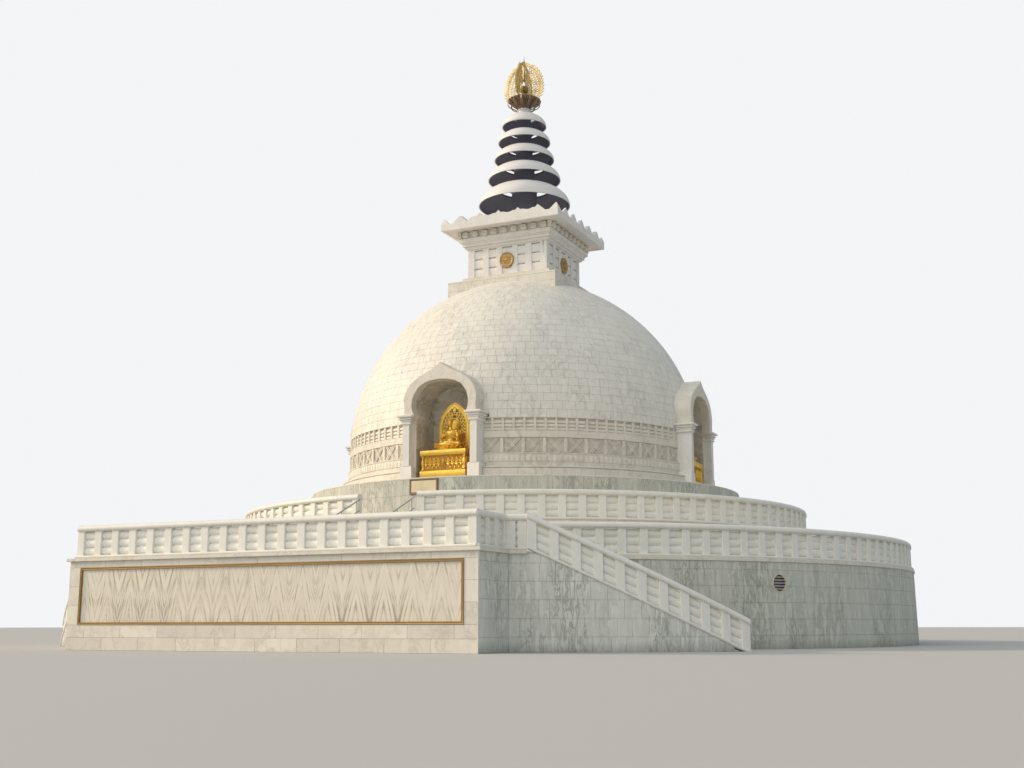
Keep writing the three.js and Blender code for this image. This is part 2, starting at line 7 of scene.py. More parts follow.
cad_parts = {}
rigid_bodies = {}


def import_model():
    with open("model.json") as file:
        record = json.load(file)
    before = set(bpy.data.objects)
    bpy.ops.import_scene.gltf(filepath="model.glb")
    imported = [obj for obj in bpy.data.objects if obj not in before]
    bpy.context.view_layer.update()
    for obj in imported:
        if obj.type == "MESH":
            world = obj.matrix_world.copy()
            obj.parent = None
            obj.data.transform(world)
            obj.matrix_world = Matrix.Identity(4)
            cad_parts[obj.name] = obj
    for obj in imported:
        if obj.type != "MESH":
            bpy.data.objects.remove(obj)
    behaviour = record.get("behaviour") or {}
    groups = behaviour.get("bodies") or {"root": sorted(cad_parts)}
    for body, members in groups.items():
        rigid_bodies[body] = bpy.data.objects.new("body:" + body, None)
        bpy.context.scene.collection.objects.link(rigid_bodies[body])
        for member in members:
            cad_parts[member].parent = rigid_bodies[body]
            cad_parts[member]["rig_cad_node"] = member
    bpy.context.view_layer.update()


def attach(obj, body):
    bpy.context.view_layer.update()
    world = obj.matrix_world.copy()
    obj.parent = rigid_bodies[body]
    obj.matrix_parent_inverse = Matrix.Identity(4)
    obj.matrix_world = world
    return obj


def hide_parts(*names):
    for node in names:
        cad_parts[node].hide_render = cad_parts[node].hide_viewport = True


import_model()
scene = bpy.context.scene
scene.view_settings.view_transform = "Standard"

# Metres, +Z up, front towards -Y. Angles are in degrees, from the front towards +X.
levels = {"low": 2.95, "high": 4.45, "third": 6.38, "ringTop": 6.88, "drumTop": 8.86, "domeCentre": 8.45}
radii = {"lowWall": 16.60, "lowLedge": 16.64, "highWall": 12.31, "highLedge": 12.40, "third": 9.55,
         "ring": 8.25, "drum": 7.93, "dome": 7.93, "stairInner": 16.642, "stairOuter": 19.45}
stairTop = 24.3  # the landing ends and the curved stairs begin at this angle
quarters = [("front", 0), ("right", 90), ("back", 180), ("left", -90)]


# Small helpers for shapes. A shape is a list of points and a list of faces.

def polar(angle, radius, z=0.0):
    a = math.radians(angle)
    return (radius * math.sin(a), -radius * math.cos(a), z)


def box(x0, x1, y0, y1, z0, z1):
    points = [(x, y, z) for z in (z0, z1) for y in (y0, y1) for x in (x0, x1)]
    return points, [(0, 2, 3, 1), (4, 5, 7, 6), (0, 1, 5, 4), (2, 6, 7, 3), (0, 4, 6, 2), (1, 3, 7, 5)]


def loft(rings, closed=False):
    # A skin through equal rings of points; its ends are capped unless it runs round to its start.
    n, count = len(rings[0]), len(rings)
    points = [p for ring in rings for p in ring]
    faces = []
    for i in range(count if closed else count - 1):
        j = (i + 1) % count
        faces += [(i * n + k, i * n + (k + 1) % n, j * n + (k + 1) % n, j * n + k) for k in range(n)]
    if not closed:
        faces += [tuple(range(n))[::-1], tuple(range((count - 1) * n, count * n))]
    return points, faces


def turned(profile, sides=192, start=0.0, span=360.0):
    # A closed profile of (radius, z) points led round the vertical axis.
    whole = span >= 360
    angles = [start + span * i / sides for i in range(sides if whole else sides + 1)]
    return loft([[polar(a, r, z) for r, z in profile] for a in angles], closed=whole)


def plate(outline, y0, y1):
    # An upright plate over an outline of (x, z) points.
    return loft([[(x, y0, z) for x, z in outline], [(x, y1, z) for x, z in outline]])


def circle(count, start=0.0):
    # Angles in equal steps all round.
    return [2 * math.pi * (k + start) / count for k in range(count)]


def rod(x0, x1, section):
    # A straight bar along X with a section of (y, z) points.
    return loft([[(x, y, z) for y, z in section] for x in (x0, x1)])


def slabOver(outline, z0, z1):
    return loft([[(x, y, z) for x, y in outline] for z in (z0, z1)])


def tube(path, radius, sides=10):
    # A round rod through points; radius may be a list, one for each point.
    rings = []
    for i, p in enumerate(path):
        way = (Vector(path[min(i + 1, len(path) - 1)]) - Vector(path[max(i - 1, 0)])).normalized()
        side = way.cross(Vector((0, 0, 1)) if abs(way.z) < 0.9 else Vector((0, 1, 0))).normalized()
        up = side.cross(way)
        r = radius[i] if isinstance(radius, list) else radius
        rings.append([tuple(Vector(p) + r * (math.cos(t) * side + math.sin(t) * up))
                      for t in circle(sides)])
    return loft(rings)


def edging(x0, x1, z0, z1, section):
    # A frame round an opening; the section gives how far in from the edge, and the y there.
    x, z, half, tall = (x0 + x1) / 2, (z0 + z1) / 2, (x1 - x0) / 2, (z1 - z0) / 2
    return loft([[(x + sx * (half - d), y, z + sz * (tall - d)) for d, y in section]
                 for sx, sz in ((-1, -1), (1, -1), (1, 1), (-1, 1))], closed=True)


def moved(shape, matrix):
    return [tuple(matrix @ Vector(p)) for p in shape[0]], shape[1]


def roundZ(angle):
    return Matrix.Rotation(math.radians(angle), 4, "Z")


upright = Matrix.Rotation(math.radians(90), 4, "X")  # lays the axis of a turned shape along -Y


def curveThrough(points, steps=6):
    # A smooth line through points; a point given twice is a corner.
    line = []
    for i in range(len(points) - 1):
        p0, p1, p2, p3 = (Vector(points[k]) for k in (max(i - 1, 0), i, i + 1, min(i + 2, len(points) - 1)))
        if (p2 - p1).length < 1e-6:
            continue
        for k in range(steps):
            t = k / steps
            line.append(tuple(0.5 * (2 * p1 + (p2 - p0) * t + (2 * p0 - 5 * p1 + 4 * p2 - p3) * t * t
                                     + (3 * p1 - p0 - 3 * p2 + p3) * t ** 3)))
    return line + [tuple(points[-1])]


def soften(mesh, angle=35):
    mesh.shade_smooth()
    mesh.set_sharp_from_angle(angle=math.radians(angle))


def newPiece(name, shapes, material, bevel=0.0, segments=1, angle=35, tones=None):
    # One object made of shapes, with its faces pointing out and its corners eased.
    points, faces, tint = [], [], []
    for i, (p, f) in enumerate(shapes):
        faces += [tuple(k + len(points) for k in face) for face in f]
        points += p
        tint += [tones[i] if tones else 0.5] * len(f)
    mesh = bpy.data.meshes.new(name)
    mesh.from_pydata(points, [], faces)
    work = bmesh.new()
    work.from_mesh(mesh)
    layer = work.faces.layers.float.new("tone")
    for face, value in zip(work.faces, tint):
        face[layer] = value
    bmesh.ops.remove_doubles(work, verts=work.verts, dist=1e-6)
    bmesh.ops.dissolve_degenerate(work, edges=work.edges, dist=1e-6)
    bmesh.ops.recalc_face_normals(work, faces=work.faces)
    if bevel:
        sharp = [e for e in work.edges if e.is_manifold and e.calc_face_angle(0) > math.radians(30)]
        bmesh.ops.bevel(work, geom=sharp, offset=bevel, segments=segments, affect="EDGES",
                        clamp_overlap=True)
    work.to_mesh(mesh)
    work.free()
    mesh.materials.append(material)
    soften(mesh, angle)
    piece = bpy.data.objects.new(name, mesh)
    scene.collection.objects.link(piece)
    return piece


def settle(piece):
    # Turns the piece's modifiers into plain mesh.
    result = bpy.data.meshes.new_from_object(piece.evaluated_get(bpy.context.evaluated_depsgraph_get()))
    piece.modifiers.clear()
    old, piece.data = piece.data, result
    result.name = piece.name
    bpy.data.meshes.remove(old)
    return piece


def carve(piece, cutter, how="DIFFERENCE"):
    modifier = piece.modifiers.new("Carve", "BOOLEAN")
    modifier.object, modifier.operation, modifier.solver = cutter, how, "MANIFOLD"
    settle(piece)
    soften(piece.data)


def cut(pieces, shapes, how="DIFFERENCE"):
    # Carves pieces with shapes that serve for this alone.
    cutter = newPiece("cutter", shapes, None)
    for piece in pieces:
        carve(piece, cutter, how)
    bpy.data.objects.remove(cutter)


def fuse(name, pieces):
    # Joins objects into the first one.
    with bpy.context.temp_override(active_object=pieces[0], selected_editable_objects=pieces):
        bpy.ops.object.join()
    pieces[0].name = pieces[0].data.name = name
    return pieces[0]


def twin(piece, angle, name):
    # A copy of a piece, turned round the axis.
    made = piece.copy()
    made.data = piece.data.copy()
    made.data.transform(roundZ(angle))
    made.name = made.data.name = name
    scene.collection.objects.link(made)
    return made


def keep(piece, slotName, *nodes):
    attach(piece, "root")
    if nodes:
        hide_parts(*nodes)


# Small helpers for node trees, used by the shape trees and the materials alike.

def feed(tree, socket, value):
    if isinstance(value, bpy.types.NodeSocket):
        tree.links.new(value, socket)
    else:
        socket.default_value = value


def node(tree, kind, inputs=None, **settings):
    made = tree.nodes.new(kind)
    for key, value in settings.items():
        setattr(made, key, value)
    for key, value in (inputs or {}).items():
        feed(tree, made.inputs[key], value)
    return made


def calc(tree, operation, *values):
    return node(tree, "ShaderNodeMath", dict(enumerate(values)), operation=operation).outputs[0]


def sums(tree):
    # Adding, multiplying, taking away and dividing in one tree.
    return [lambda a, b, name=name: calc(tree, name, a, b)
            for name in ("ADD", "MULTIPLY", "SUBTRACT", "DIVIDE")]


def point(tree, **parts):
    return node(tree, "ShaderNodeCombineXYZ", parts).outputs[0]


def onCircle(tree, radius, angle, height):
    times = sums(tree)[1]
    return point(tree, X=times(radius, calc(tree, "SINE", angle)),
                 Y=times(times(radius, calc(tree, "COSINE", angle)), -1.0), Z=height)


def choose(tree, flag, off, on, kind="FLOAT"):
    return node(tree, "GeometryNodeSwitch", {0: flag, 1: off, 2: on}, input_type=kind).outputs[0]


def newTree(name, kind, inputs, outputs=(("Geometry", "Geometry"),)):
    tree = bpy.data.node_groups.new(name, kind)
    for label, socket in outputs:
        tree.interface.new_socket(label, in_out="OUTPUT", socket_type="NodeSocket" + socket)
    for label, socket, value in inputs:
        made = tree.interface.new_socket(label, in_out="INPUT", socket_type="NodeSocket" + socket)
        if value is not None:
            made.default_value = value
    return tree, tree.nodes.new("NodeGroupInput").outputs, tree.nodes.new("NodeGroupOutput").inputs


def template(name, shapes):
    # A small shape for a tree to repeat; it is deleted once the pieces are made.
    piece = newPiece(name, shapes, None)
    piece.hide_render = True
    return piece


def profile(name, points):
    # A closed line for a tree to sweep: the depth and the height of each point.
    mesh = bpy.data.meshes.new(name)
    n = len(points)
    mesh.from_pydata([(-y, -z, 0) for y, z in points], [(i, (i + 1) % n) for i in range(n)], [])
    piece = bpy.data.objects.new(name, mesh)
    scene.collection.objects.link(piece)
    piece.hide_render = True
    return piece


def grow(name, tree, material, **values):
    # Runs a tree with its named inputs and keeps the result as a plain mesh.
    piece = bpy.data.objects.new(name, bpy.data.meshes.new(name))
    scene.collection.objects.link(piece)
    modifier = piece.modifiers.new("Grow", "NODES")
    modifier.node_group = tree
    sockets = {item.name: item.identifier for item in tree.interface.items_tree if item.in_out == "INPUT"}
    for label, value in dict(values, material=material).items():
        modifier[sockets[label]] = value
    settle(piece)
    return piece


# Trees that repeat and bend shapes.

def inputsOf(kind, **values):
    return [(name, kind, value) for name, value in values.items()]


wrapInputs = (inputsOf("Float", radius=1.0, start=0.0, along=1.0, tilt=0.0, foot=0.0, slope=0.0, lowest=-1.0)
              + inputsOf("Bool", dome=False) + inputsOf("Float", lift=0.0))
endInputs = inputsOf("Int", seed=1) + inputsOf("Material", material=None)


def makeWrapTree():
    # Bends flat work round the axis: X runs along, Y is the depth behind the face, Z the height on it.
    tree, given, out = newTree("wrapRound", "GeometryNodeTree", [("shape", "Geometry", None)] + wrapInputs)
    add, times, less, over = sums(tree)
    place = node(tree, "ShaderNodeSeparateXYZ",
                 {0: node(tree, "GeometryNodeInputPosition").outputs[0]}).outputs
    across = over(place["X"], given["along"])
    sine, cosine = calc(tree, "SINE", given["tilt"]), calc(tree, "COSINE", given["tilt"])
    inward = add(times(place["Z"], sine), times(place["Y"], cosine))
    upward = less(times(place["Z"], cosine), times(place["Y"], sine))
    reach = less(given["radius"], place["Y"])
    rise = over(add(place["Z"], given["lift"]), given["radius"])
    radius = choose(tree, given["dome"], less(given["radius"], inward),
                    times(reach, calc(tree, "COSINE", rise)))
    height = choose(tree, given["dome"], upward, times(reach, calc(tree, "SINE", rise)))
    height = add(add(height, given["foot"]), times(given["slope"], across))
    target = onCircle(tree, radius, add(across, given["start"]),
                      calc(tree, "MAXIMUM", height, given["lowest"]))
    done = node(tree, "GeometryNodeSetPosition", {"Geometry": given["shape"], "Position": target})
    feed(tree, out["Geometry"], done.outputs[0])
    return tree


def wrapped(tree, shape, given, wrap):
    bend = {item[0]: given[item[0]] for item in wrapInputs}
    return node(tree, "GeometryNodeGroup", {"shape": shape, **bend}, node_tree=wrap).outputs[0]


def shapeOf(tree, thing):
    return node(tree, "GeometryNodeObjectInfo", {"Object": thing}).outputs["Geometry"]


def copiesAt(tree, count, place, thing, seed, **more):
    # Copies of a thing on points, each with a number of its own, which the materials read as its tone.
    points = node(tree, "GeometryNodePoints", {"Count": count}).outputs[0]
    placed = node(tree, "GeometryNodeSetPosition", {"Geometry": points, "Position": place}).outputs[0]
    copies = node(tree, "GeometryNodeInstanceOnPoints", {
        "Points": placed, "Instance": shapeOf(tree, thing), **more}).outputs[0]
    tone = node(tree, "FunctionNodeRandomValue", {"Seed": seed}, data_type="FLOAT").outputs[1]
    return node(tree, "GeometryNodeStoreNamedAttribute", {
        "Geometry": copies, "Name": "tone", "Value": tone}, domain="INSTANCE", data_type="FLOAT").outputs[0]


def realized(tree, shape):
    return node(tree, "GeometryNodeRealizeInstances", {"Geometry": shape}).outputs[0]


def finished(tree, shape, given, out):
    tone = node(tree, "GeometryNodeInputNamedAttribute", {"Name": "tone"}, data_type="FLOAT").outputs[0]
    solid = node(tree, "GeometryNodeStoreNamedAttribute", {
        "Geometry": realized(tree, shape), "Name": "tone", "Value": tone},
        domain="FACE", data_type="FLOAT").outputs[0]
    painted = node(tree, "GeometryNodeSetMaterial", {"Geometry": solid, "Material": given["material"]})
    feed(tree, out["Geometry"], painted.outputs[0])


def makeCourseTree(wrap):
    # Courses of cut stone on a wall, a cone, a floor or a dome. The stones' widths are uneven.
    inputs = inputsOf("Object", block=None) + inputsOf("Int", rows=1) + inputsOf(
        "Float", rowHeight=0.5, length=0.5, span=6.2832, joint=0.008, uneven=0.3, stagger=0.5)
    tree, given, out = newTree("coursedStone", "GeometryNodeTree", inputs + endInputs + wrapInputs)
    add, times, less, over = sums(tree)
    zone = tree.nodes.new("GeometryNodeRepeatInput")
    end = tree.nodes.new("GeometryNodeRepeatOutput")
    zone.pair_with_output(end)
    feed(tree, zone.inputs["Iterations"], given["rows"])
    row = zone.outputs["Iteration"]
    middle = times(add(row, 0.5), given["rowHeight"])
    cone = less(given["radius"], times(middle, calc(tree, "SINE", given["tilt"])))
    ball = times(given["radius"], calc(tree, "COSINE", over(add(given["lift"], middle), given["radius"])))
    ring = choose(tree, given["dome"], cone, ball)
    around = over(times(given["span"], ring), given["along"])
    stones = calc(tree, "MAXIMUM", calc(tree, "ROUND", over(around, given["length"])), 1.0)
    seed = add(given["seed"], row)
    width = node(tree, "FunctionNodeRandomValue", {
        2: less(1.0, given["uneven"]), 3: add(1.0, given["uneven"]), "Seed": seed},
                 data_type="FLOAT").outputs[1]
    run = node(tree, "GeometryNodeAccumulateField", {"Value": width}, data_type="FLOAT").outputs
    unit = over(given["span"], run["Total"])
    shift = times(times(calc(tree, "MODULO", row, 2.0), given["stagger"]), over(given["span"], stones))
    centre = add(times(add(run["Trailing"], times(width, 0.5)), unit), shift)
    gap = over(times(given["joint"], given["along"]), ring)
    size = point(tree, X=less(times(width, unit), gap), Y=1.0, Z=less(given["rowHeight"], given["joint"]))
    copies = copiesAt(tree, stones, point(tree, X=centre, Z=middle), given["block"], add(seed, 100.0),
                      Scale=size)
    joined = node(tree, "GeometryNodeJoinGeometry")
    for course in (realized(tree, copies), zone.outputs["Geometry"]):
        tree.links.new(course, joined.inputs[0])
    feed(tree, end.inputs["Geometry"], joined.outputs[0])
    finished(tree, wrapped(tree, end.outputs["Geometry"], given, wrap), given, out)
    return tree


def makeFenceTree(wrap):
    # Posts, the bars between them, the coping over them and the kerb under them.
    inputs = (inputsOf("Object", post=None, bars=None, coping=None, kerb=None) + inputsOf("Int", bays=1)
              + inputsOf("Float", pitch=0.74, postHalf=0.14) + inputsOf("Bool", straight=False))
    tree, given, out = newTree("stoneFence", "GeometryNodeTree", inputs + endInputs + wrapInputs)
    add, times = sums(tree)[:2]
    index = node(tree, "GeometryNodeInputIndex").outputs[0]
    joined = node(tree, "GeometryNodeJoinGeometry")
    for label, count, step, stretch in (("post", add(given["bays"], 1.0), 0.0, 1.0),
                                        ("bars", given["bays"], 0.5, given["pitch"])):
        place = point(tree, X=times(add(index, step), given["pitch"]))
        size = point(tree, X=stretch, Y=1.0, Z=1.0)
        tree.links.new(copiesAt(tree, count, place, given[label], given["seed"], Scale=size),
                       joined.inputs[0])
    length = times(given["bays"], given["pitch"])
    line = node(tree, "GeometryNodeCurvePrimitiveLine", {
        "Start": point(tree, X=times(given["postHalf"], -1.0)),
        "End": point(tree, X=add(length, given["postHalf"]))})
    fine = node(tree, "GeometryNodeResampleCurve", {
        "Curve": line.outputs[0], "Count": add(times(given["bays"], 3.0), 1.0)})
    for label in ("coping", "kerb"):
        section = node(tree, "GeometryNodeMeshToCurve", {"Mesh": shapeOf(tree, given[label])})
        swept = node(tree, "GeometryNodeCurveToMesh", {
            "Curve": fine.outputs[0], "Profile Curve": section.outputs[0], "Fill Caps": True})
        tree.links.new(swept.outputs[0], joined.inputs[0])
    solid = realized(tree, joined.outputs[0])
    chosen = choose(tree, given["straight"], wrapped(tree, solid, given, wrap), solid, "GEOMETRY")
    finished(tree, chosen, given, out)
    return tree


def makeRingTree():
    # Copies of a shape round the axis, each turned to face outwards.
    inputs = inputsOf("Object", shape=None) + inputsOf("Int", count=12) + inputsOf(
        "Float", start=0.0, step=0.5, radius=0.0, height=0.0)
    tree, given, out = newTree("roundCopies", "GeometryNodeTree", inputs + endInputs)
    add, times = sums(tree)[:2]
    angle = add(given["start"], times(node(tree, "GeometryNodeInputIndex").outputs[0], given["step"]))
    place = onCircle(tree, given["radius"], angle, given["height"])
    turn = node(tree, "FunctionNodeEulerToRotation", {0: point(tree, Z=angle)}).outputs[0]
    finished(tree, copiesAt(tree, given["count"], place, given["shape"], given["seed"], Rotation=turn),
             given, out)
    return tree


wrapTree = makeWrapTree()
courseTree, fenceTree, ringTree = makeCourseTree(wrapTree), makeFenceTree(wrapTree), makeRingTree()
print("trees ready")


# Finishes.

def noise(tree, **inputs):
    return node(tree, "ShaderNodeTexNoise", inputs).outputs["Fac"]


def between(tree, value, low, high):
    # How far a value lies from low to high, from 0 to 1.
    return node(tree, "ShaderNodeMapRange", {"Value": value, "From Min": low, "From Max": high}).outputs[0]


def placeParts(tree):
    return node(tree, "ShaderNodeSeparateXYZ",
                {0: node(tree, "ShaderNodeTexCoord").outputs["Object"]}).outputs


def toneOf(tree):
    return node(tree, "ShaderNodeAttribute", attribute_name="tone").outputs["Fac"]


def makeVeins():
    # Marble veins along one level of a noise; stretched ones stand upright.
    inputs = inputsOf("Float", Scale=2.0, Stretch=1.0, Sharpness=8.0, Lean=0.0, Twist=0.5)
    tree, given, out = newTree("marbleVeins", "ShaderNodeTree", inputs,
                               [("Mask", "Float"), ("Cloud", "Float")])
    add, times, less, over = sums(tree)
    parts = placeParts(tree)
    jump = times(toneOf(tree), 37.0)  # neighbouring stones are cut from other places
    leaned = add(parts["X"], times(parts["Z"], given["Lean"]))
    spot = point(tree, X=add(leaned, jump), Y=parts["Y"], Z=add(over(parts["Z"], given["Stretch"]), jump))
    cloud = noise(tree, Vector=spot, Scale=given["Scale"], Detail=5.0, Roughness=0.6,
                  Distortion=given["Twist"])
    line = less(1.0, times(calc(tree, "ABSOLUTE", less(cloud, 0.5)), given["Sharpness"]))
    line = calc(tree, "POWER", calc(tree, "MAXIMUM", line, 0.0), 1.6)
    wide = noise(tree, Vector=spot, Scale=0.9, Detail=3.0)
    feed(tree, out["Mask"], times(line, between(tree, wide, 0.38, 0.62)))
    feed(tree, out["Cloud"], cloud)
    return tree


def makeStains():
    # Damp at a foot, and rain streaks that run down from a ledge.
    inputs = inputsOf("Float", **{"Foot": 0.0, "Damp height": 0.4, "Streaks": 0.3})
    tree, given, out = newTree("rainStains", "ShaderNodeTree", inputs, [("Mask", "Float")])
    add, times, less, over = sums(tree)
    parts = placeParts(tree)
    wave = noise(tree, Scale=0.8, Detail=4.0)
    damp = less(1.0, over(less(parts["Z"], given["Foot"]), times(given["Damp height"], times(wave, 2.0))))
    damp = times(calc(tree, "MAXIMUM", damp, 0.0), 0.8)
    long = point(tree, X=parts["X"], Y=parts["Y"], Z=times(parts["Z"], 0.12))
    run = between(tree, noise(tree, Vector=long, Scale=3.5, Detail=5.0), 0.52, 0.75)
    feed(tree, out["Mask"], calc(tree, "MINIMUM", add(damp, times(run, given["Streaks"])), 1.0))
    return tree


veinGroup, stainGroup = makeVeins(), makeStains()


def group(tree, inner, **values):
    inputs = {label.replace("_", " "): value for label, value in values.items()}
    return node(tree, "ShaderNodeGroup", inputs, node_tree=inner).outputs


def newMaterial(name, color, roughness, metallic=0.0):
    material = bpy.data.materials.new(name)
    material.use_nodes = True
    tree = material.node_tree
    shader = tree.nodes["Principled BSDF"]
    shader.inputs["Base Color"].default_value = (*color, 1)
    shader.inputs["Roughness"].default_value = roughness
    shader.inputs["Metallic"].default_value = metallic
    return material, tree, shader


def blend(tree, factor, first, second, how="MIX"):
    made = tree.nodes.new("ShaderNodeMix")
    made.data_type, made.blend_type = "RGBA", how
    feed(tree, made.inputs[0], factor)
    for index, value in ((6, first), (7, second)):
        feed(tree, made.inputs[index], value if isinstance(value, bpy.types.NodeSocket) else (*value, 1))
    return made.outputs[2]


def bump(tree, shader, height, strength, distance):
    made = node(tree, "ShaderNodeBump", {"Strength": strength, "Distance": distance, "Height": height})
    feed(tree, shader.inputs["Normal"], made.outputs[0])


def marble(name, look):
    material, tree, shader = newMaterial(name, look["stone"], look["roughness"])
    add, times, less = sums(tree)[:3]
    veins = group(tree, veinGroup, Scale=look["scale"], Stretch=look["stretch"], Sharpness=look["sharpness"],
                  Lean=look.get("lean", 0.0), Twist=look.get("twist", 0.5))
    stains = group(tree, stainGroup, Foot=look.get("foot", -50.0), Damp_height=look.get("damp", 0.4),
                   Streaks=look["streaks"])
    color = blend(tree, between(tree, veins["Cloud"], 0.3, 0.7), look["stone"], look["cloud"])
    color = blend(tree, times(veins["Mask"], look["veins"]), color, look["vein"])
    shade = add(1.0, times(less(toneOf(tree), 0.5), look["spread"]))
    color = blend(tree, 1.0, color, point(tree, X=shade, Y=shade, Z=shade), "MULTIPLY")
    color = blend(tree, times(stains["Mask"], 0.6), color, look["stain"])
    feed(tree, shader.inputs["Base Color"], color)
    grain = noise(tree, Scale=40.0, Detail=4.0)
    feed(tree, shader.inputs["Roughness"], add(look["roughness"] - 0.08, times(grain, 0.16)))
    bump(tree, shader, less(grain, times(veins["Mask"], 0.5)), 0.25, 0.004)
    return material


creamMarble = marble("creamMarble", {
    "stone": (0.80, 0.76, 0.67), "cloud": (0.74, 0.70, 0.61), "vein": (0.42, 0.37, 0.30), "veins": 0.42,
    "stain": (0.40, 0.37, 0.31), "scale": 1.9, "stretch": 1.4, "sharpness": 13.0, "roughness": 0.55,
    "spread": 0.15, "streaks": 0.22})
domeMarble = marble("domeMarble", {
    "stone": (0.84, 0.81, 0.74), "cloud": (0.77, 0.75, 0.68), "vein": (0.42, 0.40, 0.35), "veins": 0.42,
    "stain": (0.42, 0.40, 0.35), "scale": 2.4, "stretch": 1.6, "sharpness": 13.0, "roughness": 0.55,
    "spread": 0.18, "streaks": 0.22})
# A darker marble: painted shade on the sunk grounds of the drum's bands; on the dome's core it shows as the
# dark joints between the stones.
groundMarble = marble("groundMarble", {
    "stone": (0.68, 0.64, 0.56), "cloud": (0.60, 0.56, 0.48), "vein": (0.38, 0.34, 0.28), "veins": 0.4,
    "stain": (0.34, 0.31, 0.26), "scale": 2.2, "stretch": 1.2, "sharpness": 9.0, "roughness": 0.65,
    "spread": 0.05, "streaks": 0.3})
whiteMarble = marble("whiteMarble", {
    "stone": (0.86, 0.84, 0.80), "cloud": (0.80, 0.78, 0.73), "vein": (0.52, 0.50, 0.46), "veins": 0.26,
    "stain": (0.46, 0.43, 0.37), "scale": 2.2, "stretch": 1.3, "sharpness": 9.0, "roughness": 0.5,
    "spread": 0.07, "streaks": 0.2})
greyLook = {
    "stone": (0.68, 0.68, 0.60), "cloud": (0.56, 0.57, 0.50), "vein": (0.20, 0.22, 0.18), "veins": 0.62,
    "stain": (0.18, 0.18, 0.15), "scale": 6.5, "stretch": 4.0, "sharpness": 11.0, "roughness": 0.6,
    "spread": 0.24, "streaks": 0.35, "foot": 0.0, "damp": 0.35}
greyMarble = marble("greyMarble", greyLook)
sideMarble = marble("sideMarble", dict(greyLook, stone=(0.80, 0.80, 0.73), cloud=(0.67, 0.68, 0.62)))
railMarble = marble("railMarble", {
    "stone": (0.88, 0.87, 0.81), "cloud": (0.83, 0.82, 0.75), "vein": (0.62, 0.60, 0.55), "veins": 0.16,
    "stain": (0.46, 0.44, 0.38), "scale": 2.6, "stretch": 1.2, "sharpness": 9.0, "roughness": 0.5,
    "spread": 0.06, "streaks": 0.25})
plateMarble = marble("plateMarble", {
    "stone": (0.82, 0.72, 0.50), "cloud": (0.76, 0.66, 0.44), "vein": (0.50, 0.40, 0.24), "veins": 0.3,
    "stain": (0.40, 0.32, 0.20), "scale": 3.0, "stretch": 0.7, "sharpness": 8.0, "roughness": 0.5,
    "spread": 0.05, "streaks": 0.5})
liningMarble = marble("liningMarble", {
    "stone": (0.77, 0.73, 0.65), "cloud": (0.63, 0.60, 0.53), "vein": (0.28, 0.27, 0.24), "veins": 0.75,
    "stain": (0.15, 0.14, 0.12), "scale": 1.5, "stretch": 1.0, "sharpness": 8.0, "lean": 1.2, "twist": 1.2,
    "roughness": 0.5, "spread": 0.1, "streaks": 0.1})


slabPattern = {"pair": 0.47, "cell": 2.82, "shift": 20.0, "lean": 0.26}


def makePanelMarble():
    # Book-matched slabs: dark streaks that lean one way and then the other.
    material, tree, shader = newMaterial("panelMarble", (0.80, 0.75, 0.64), 0.45)
    add, times, _, over = sums(tree)
    parts = placeParts(tree)
    across = add(parts["X"], slabPattern["shift"])
    leaned = add(calc(tree, "PINGPONG", across, slabPattern["pair"]), times(parts["Z"], slabPattern["lean"]))
    cell = calc(tree, "FLOOR", over(across, slabPattern["cell"]))
    spot = point(tree, X=times(leaned, 14.0), Y=times(cell, 5.3), Z=times(parts["Z"], 0.9))
    streak = noise(tree, Vector=spot, Scale=1.0, Detail=5.0, Roughness=0.65, Distortion=0.35)
    color = blend(tree, between(tree, streak, 0.30, 0.50), (0.86, 0.81, 0.71), (0.76, 0.70, 0.58))
    color = blend(tree, times(between(tree, streak, 0.53, 0.64), 0.8), color, (0.34, 0.30, 0.25))
    feed(tree, shader.inputs["Base Color"], color)
    bump(tree, shader, streak, 0.1, 0.003)
    return material


panelMarble = makePanelMarble()


def metal(name, color, worn, roughness, scale, metallic=1.0):
    # Metal with duller hollows and brighter rubbed places.
    material, tree, shader = newMaterial(name, color, roughness, metallic)
    add, times = sums(tree)[:2]
    wear = between(tree, noise(tree, Scale=scale, Detail=6.0, Roughness=0.65), 0.38, 0.66)
    feed(tree, shader.inputs["Base Color"], blend(tree, wear, color, worn))
    feed(tree, shader.inputs["Roughness"], add(roughness, times(wear, 0.15)))
    bump(tree, shader, noise(tree, Scale=scale * 9, Detail=3.0), 0.15, 0.002)
    return material


gilt = metal("gilt", (0.95, 0.64, 0.13), (0.86, 0.52, 0.09), 0.27, 5.0, 0.85)
agedGilt = metal("agedGilt", (0.56, 0.38, 0.16), (0.40, 0.27, 0.12), 0.42, 6.0, 0.75)
darkBronze = metal("darkBronze", (0.21, 0.15, 0.11), (0.34, 0.25, 0.14), 0.42, 8.0, 0.7)
# A darker gilt: painted shade on the pedestals' sunk grounds; the middle motifs are in the same gilt.
darkGilt = metal("darkGilt", (0.66, 0.40, 0.08), (0.44, 0.25, 0.06), 0.5, 7.0, 0.6)
paleGilt = metal("paleGilt", (0.86, 0.68, 0.34), (0.56, 0.42, 0.20), 0.38, 6.0, 0.8)
brass = metal("brass", (0.38, 0.25, 0.10), (0.28, 0.18, 0.08), 0.45, 7.0, 0.7)
ventMetal = metal("ventMetal", (0.80, 0.74, 0.60), (0.60, 0.52, 0.38), 0.35, 9.0, 0.4)
steel = metal("steel", (0.55, 0.56, 0.56), (0.42, 0.43, 0.43), 0.3, 9.0)
whitePaint = metal("whitePaint", (0.84, 0.82, 0.80), (0.76, 0.74, 0.73), 0.45, 1.2, 0.0)
# Flat dark colour for places in deep shade: painted shade in the vents' holes, under the umbrellas, on their
# frames and on the mast.
darkPaint = metal("darkPaint", (0.14, 0.145, 0.21), (0.17, 0.175, 0.24), 0.6, 1.5, 0.0)
print("finishes ready")


# The view, the light and the floor.

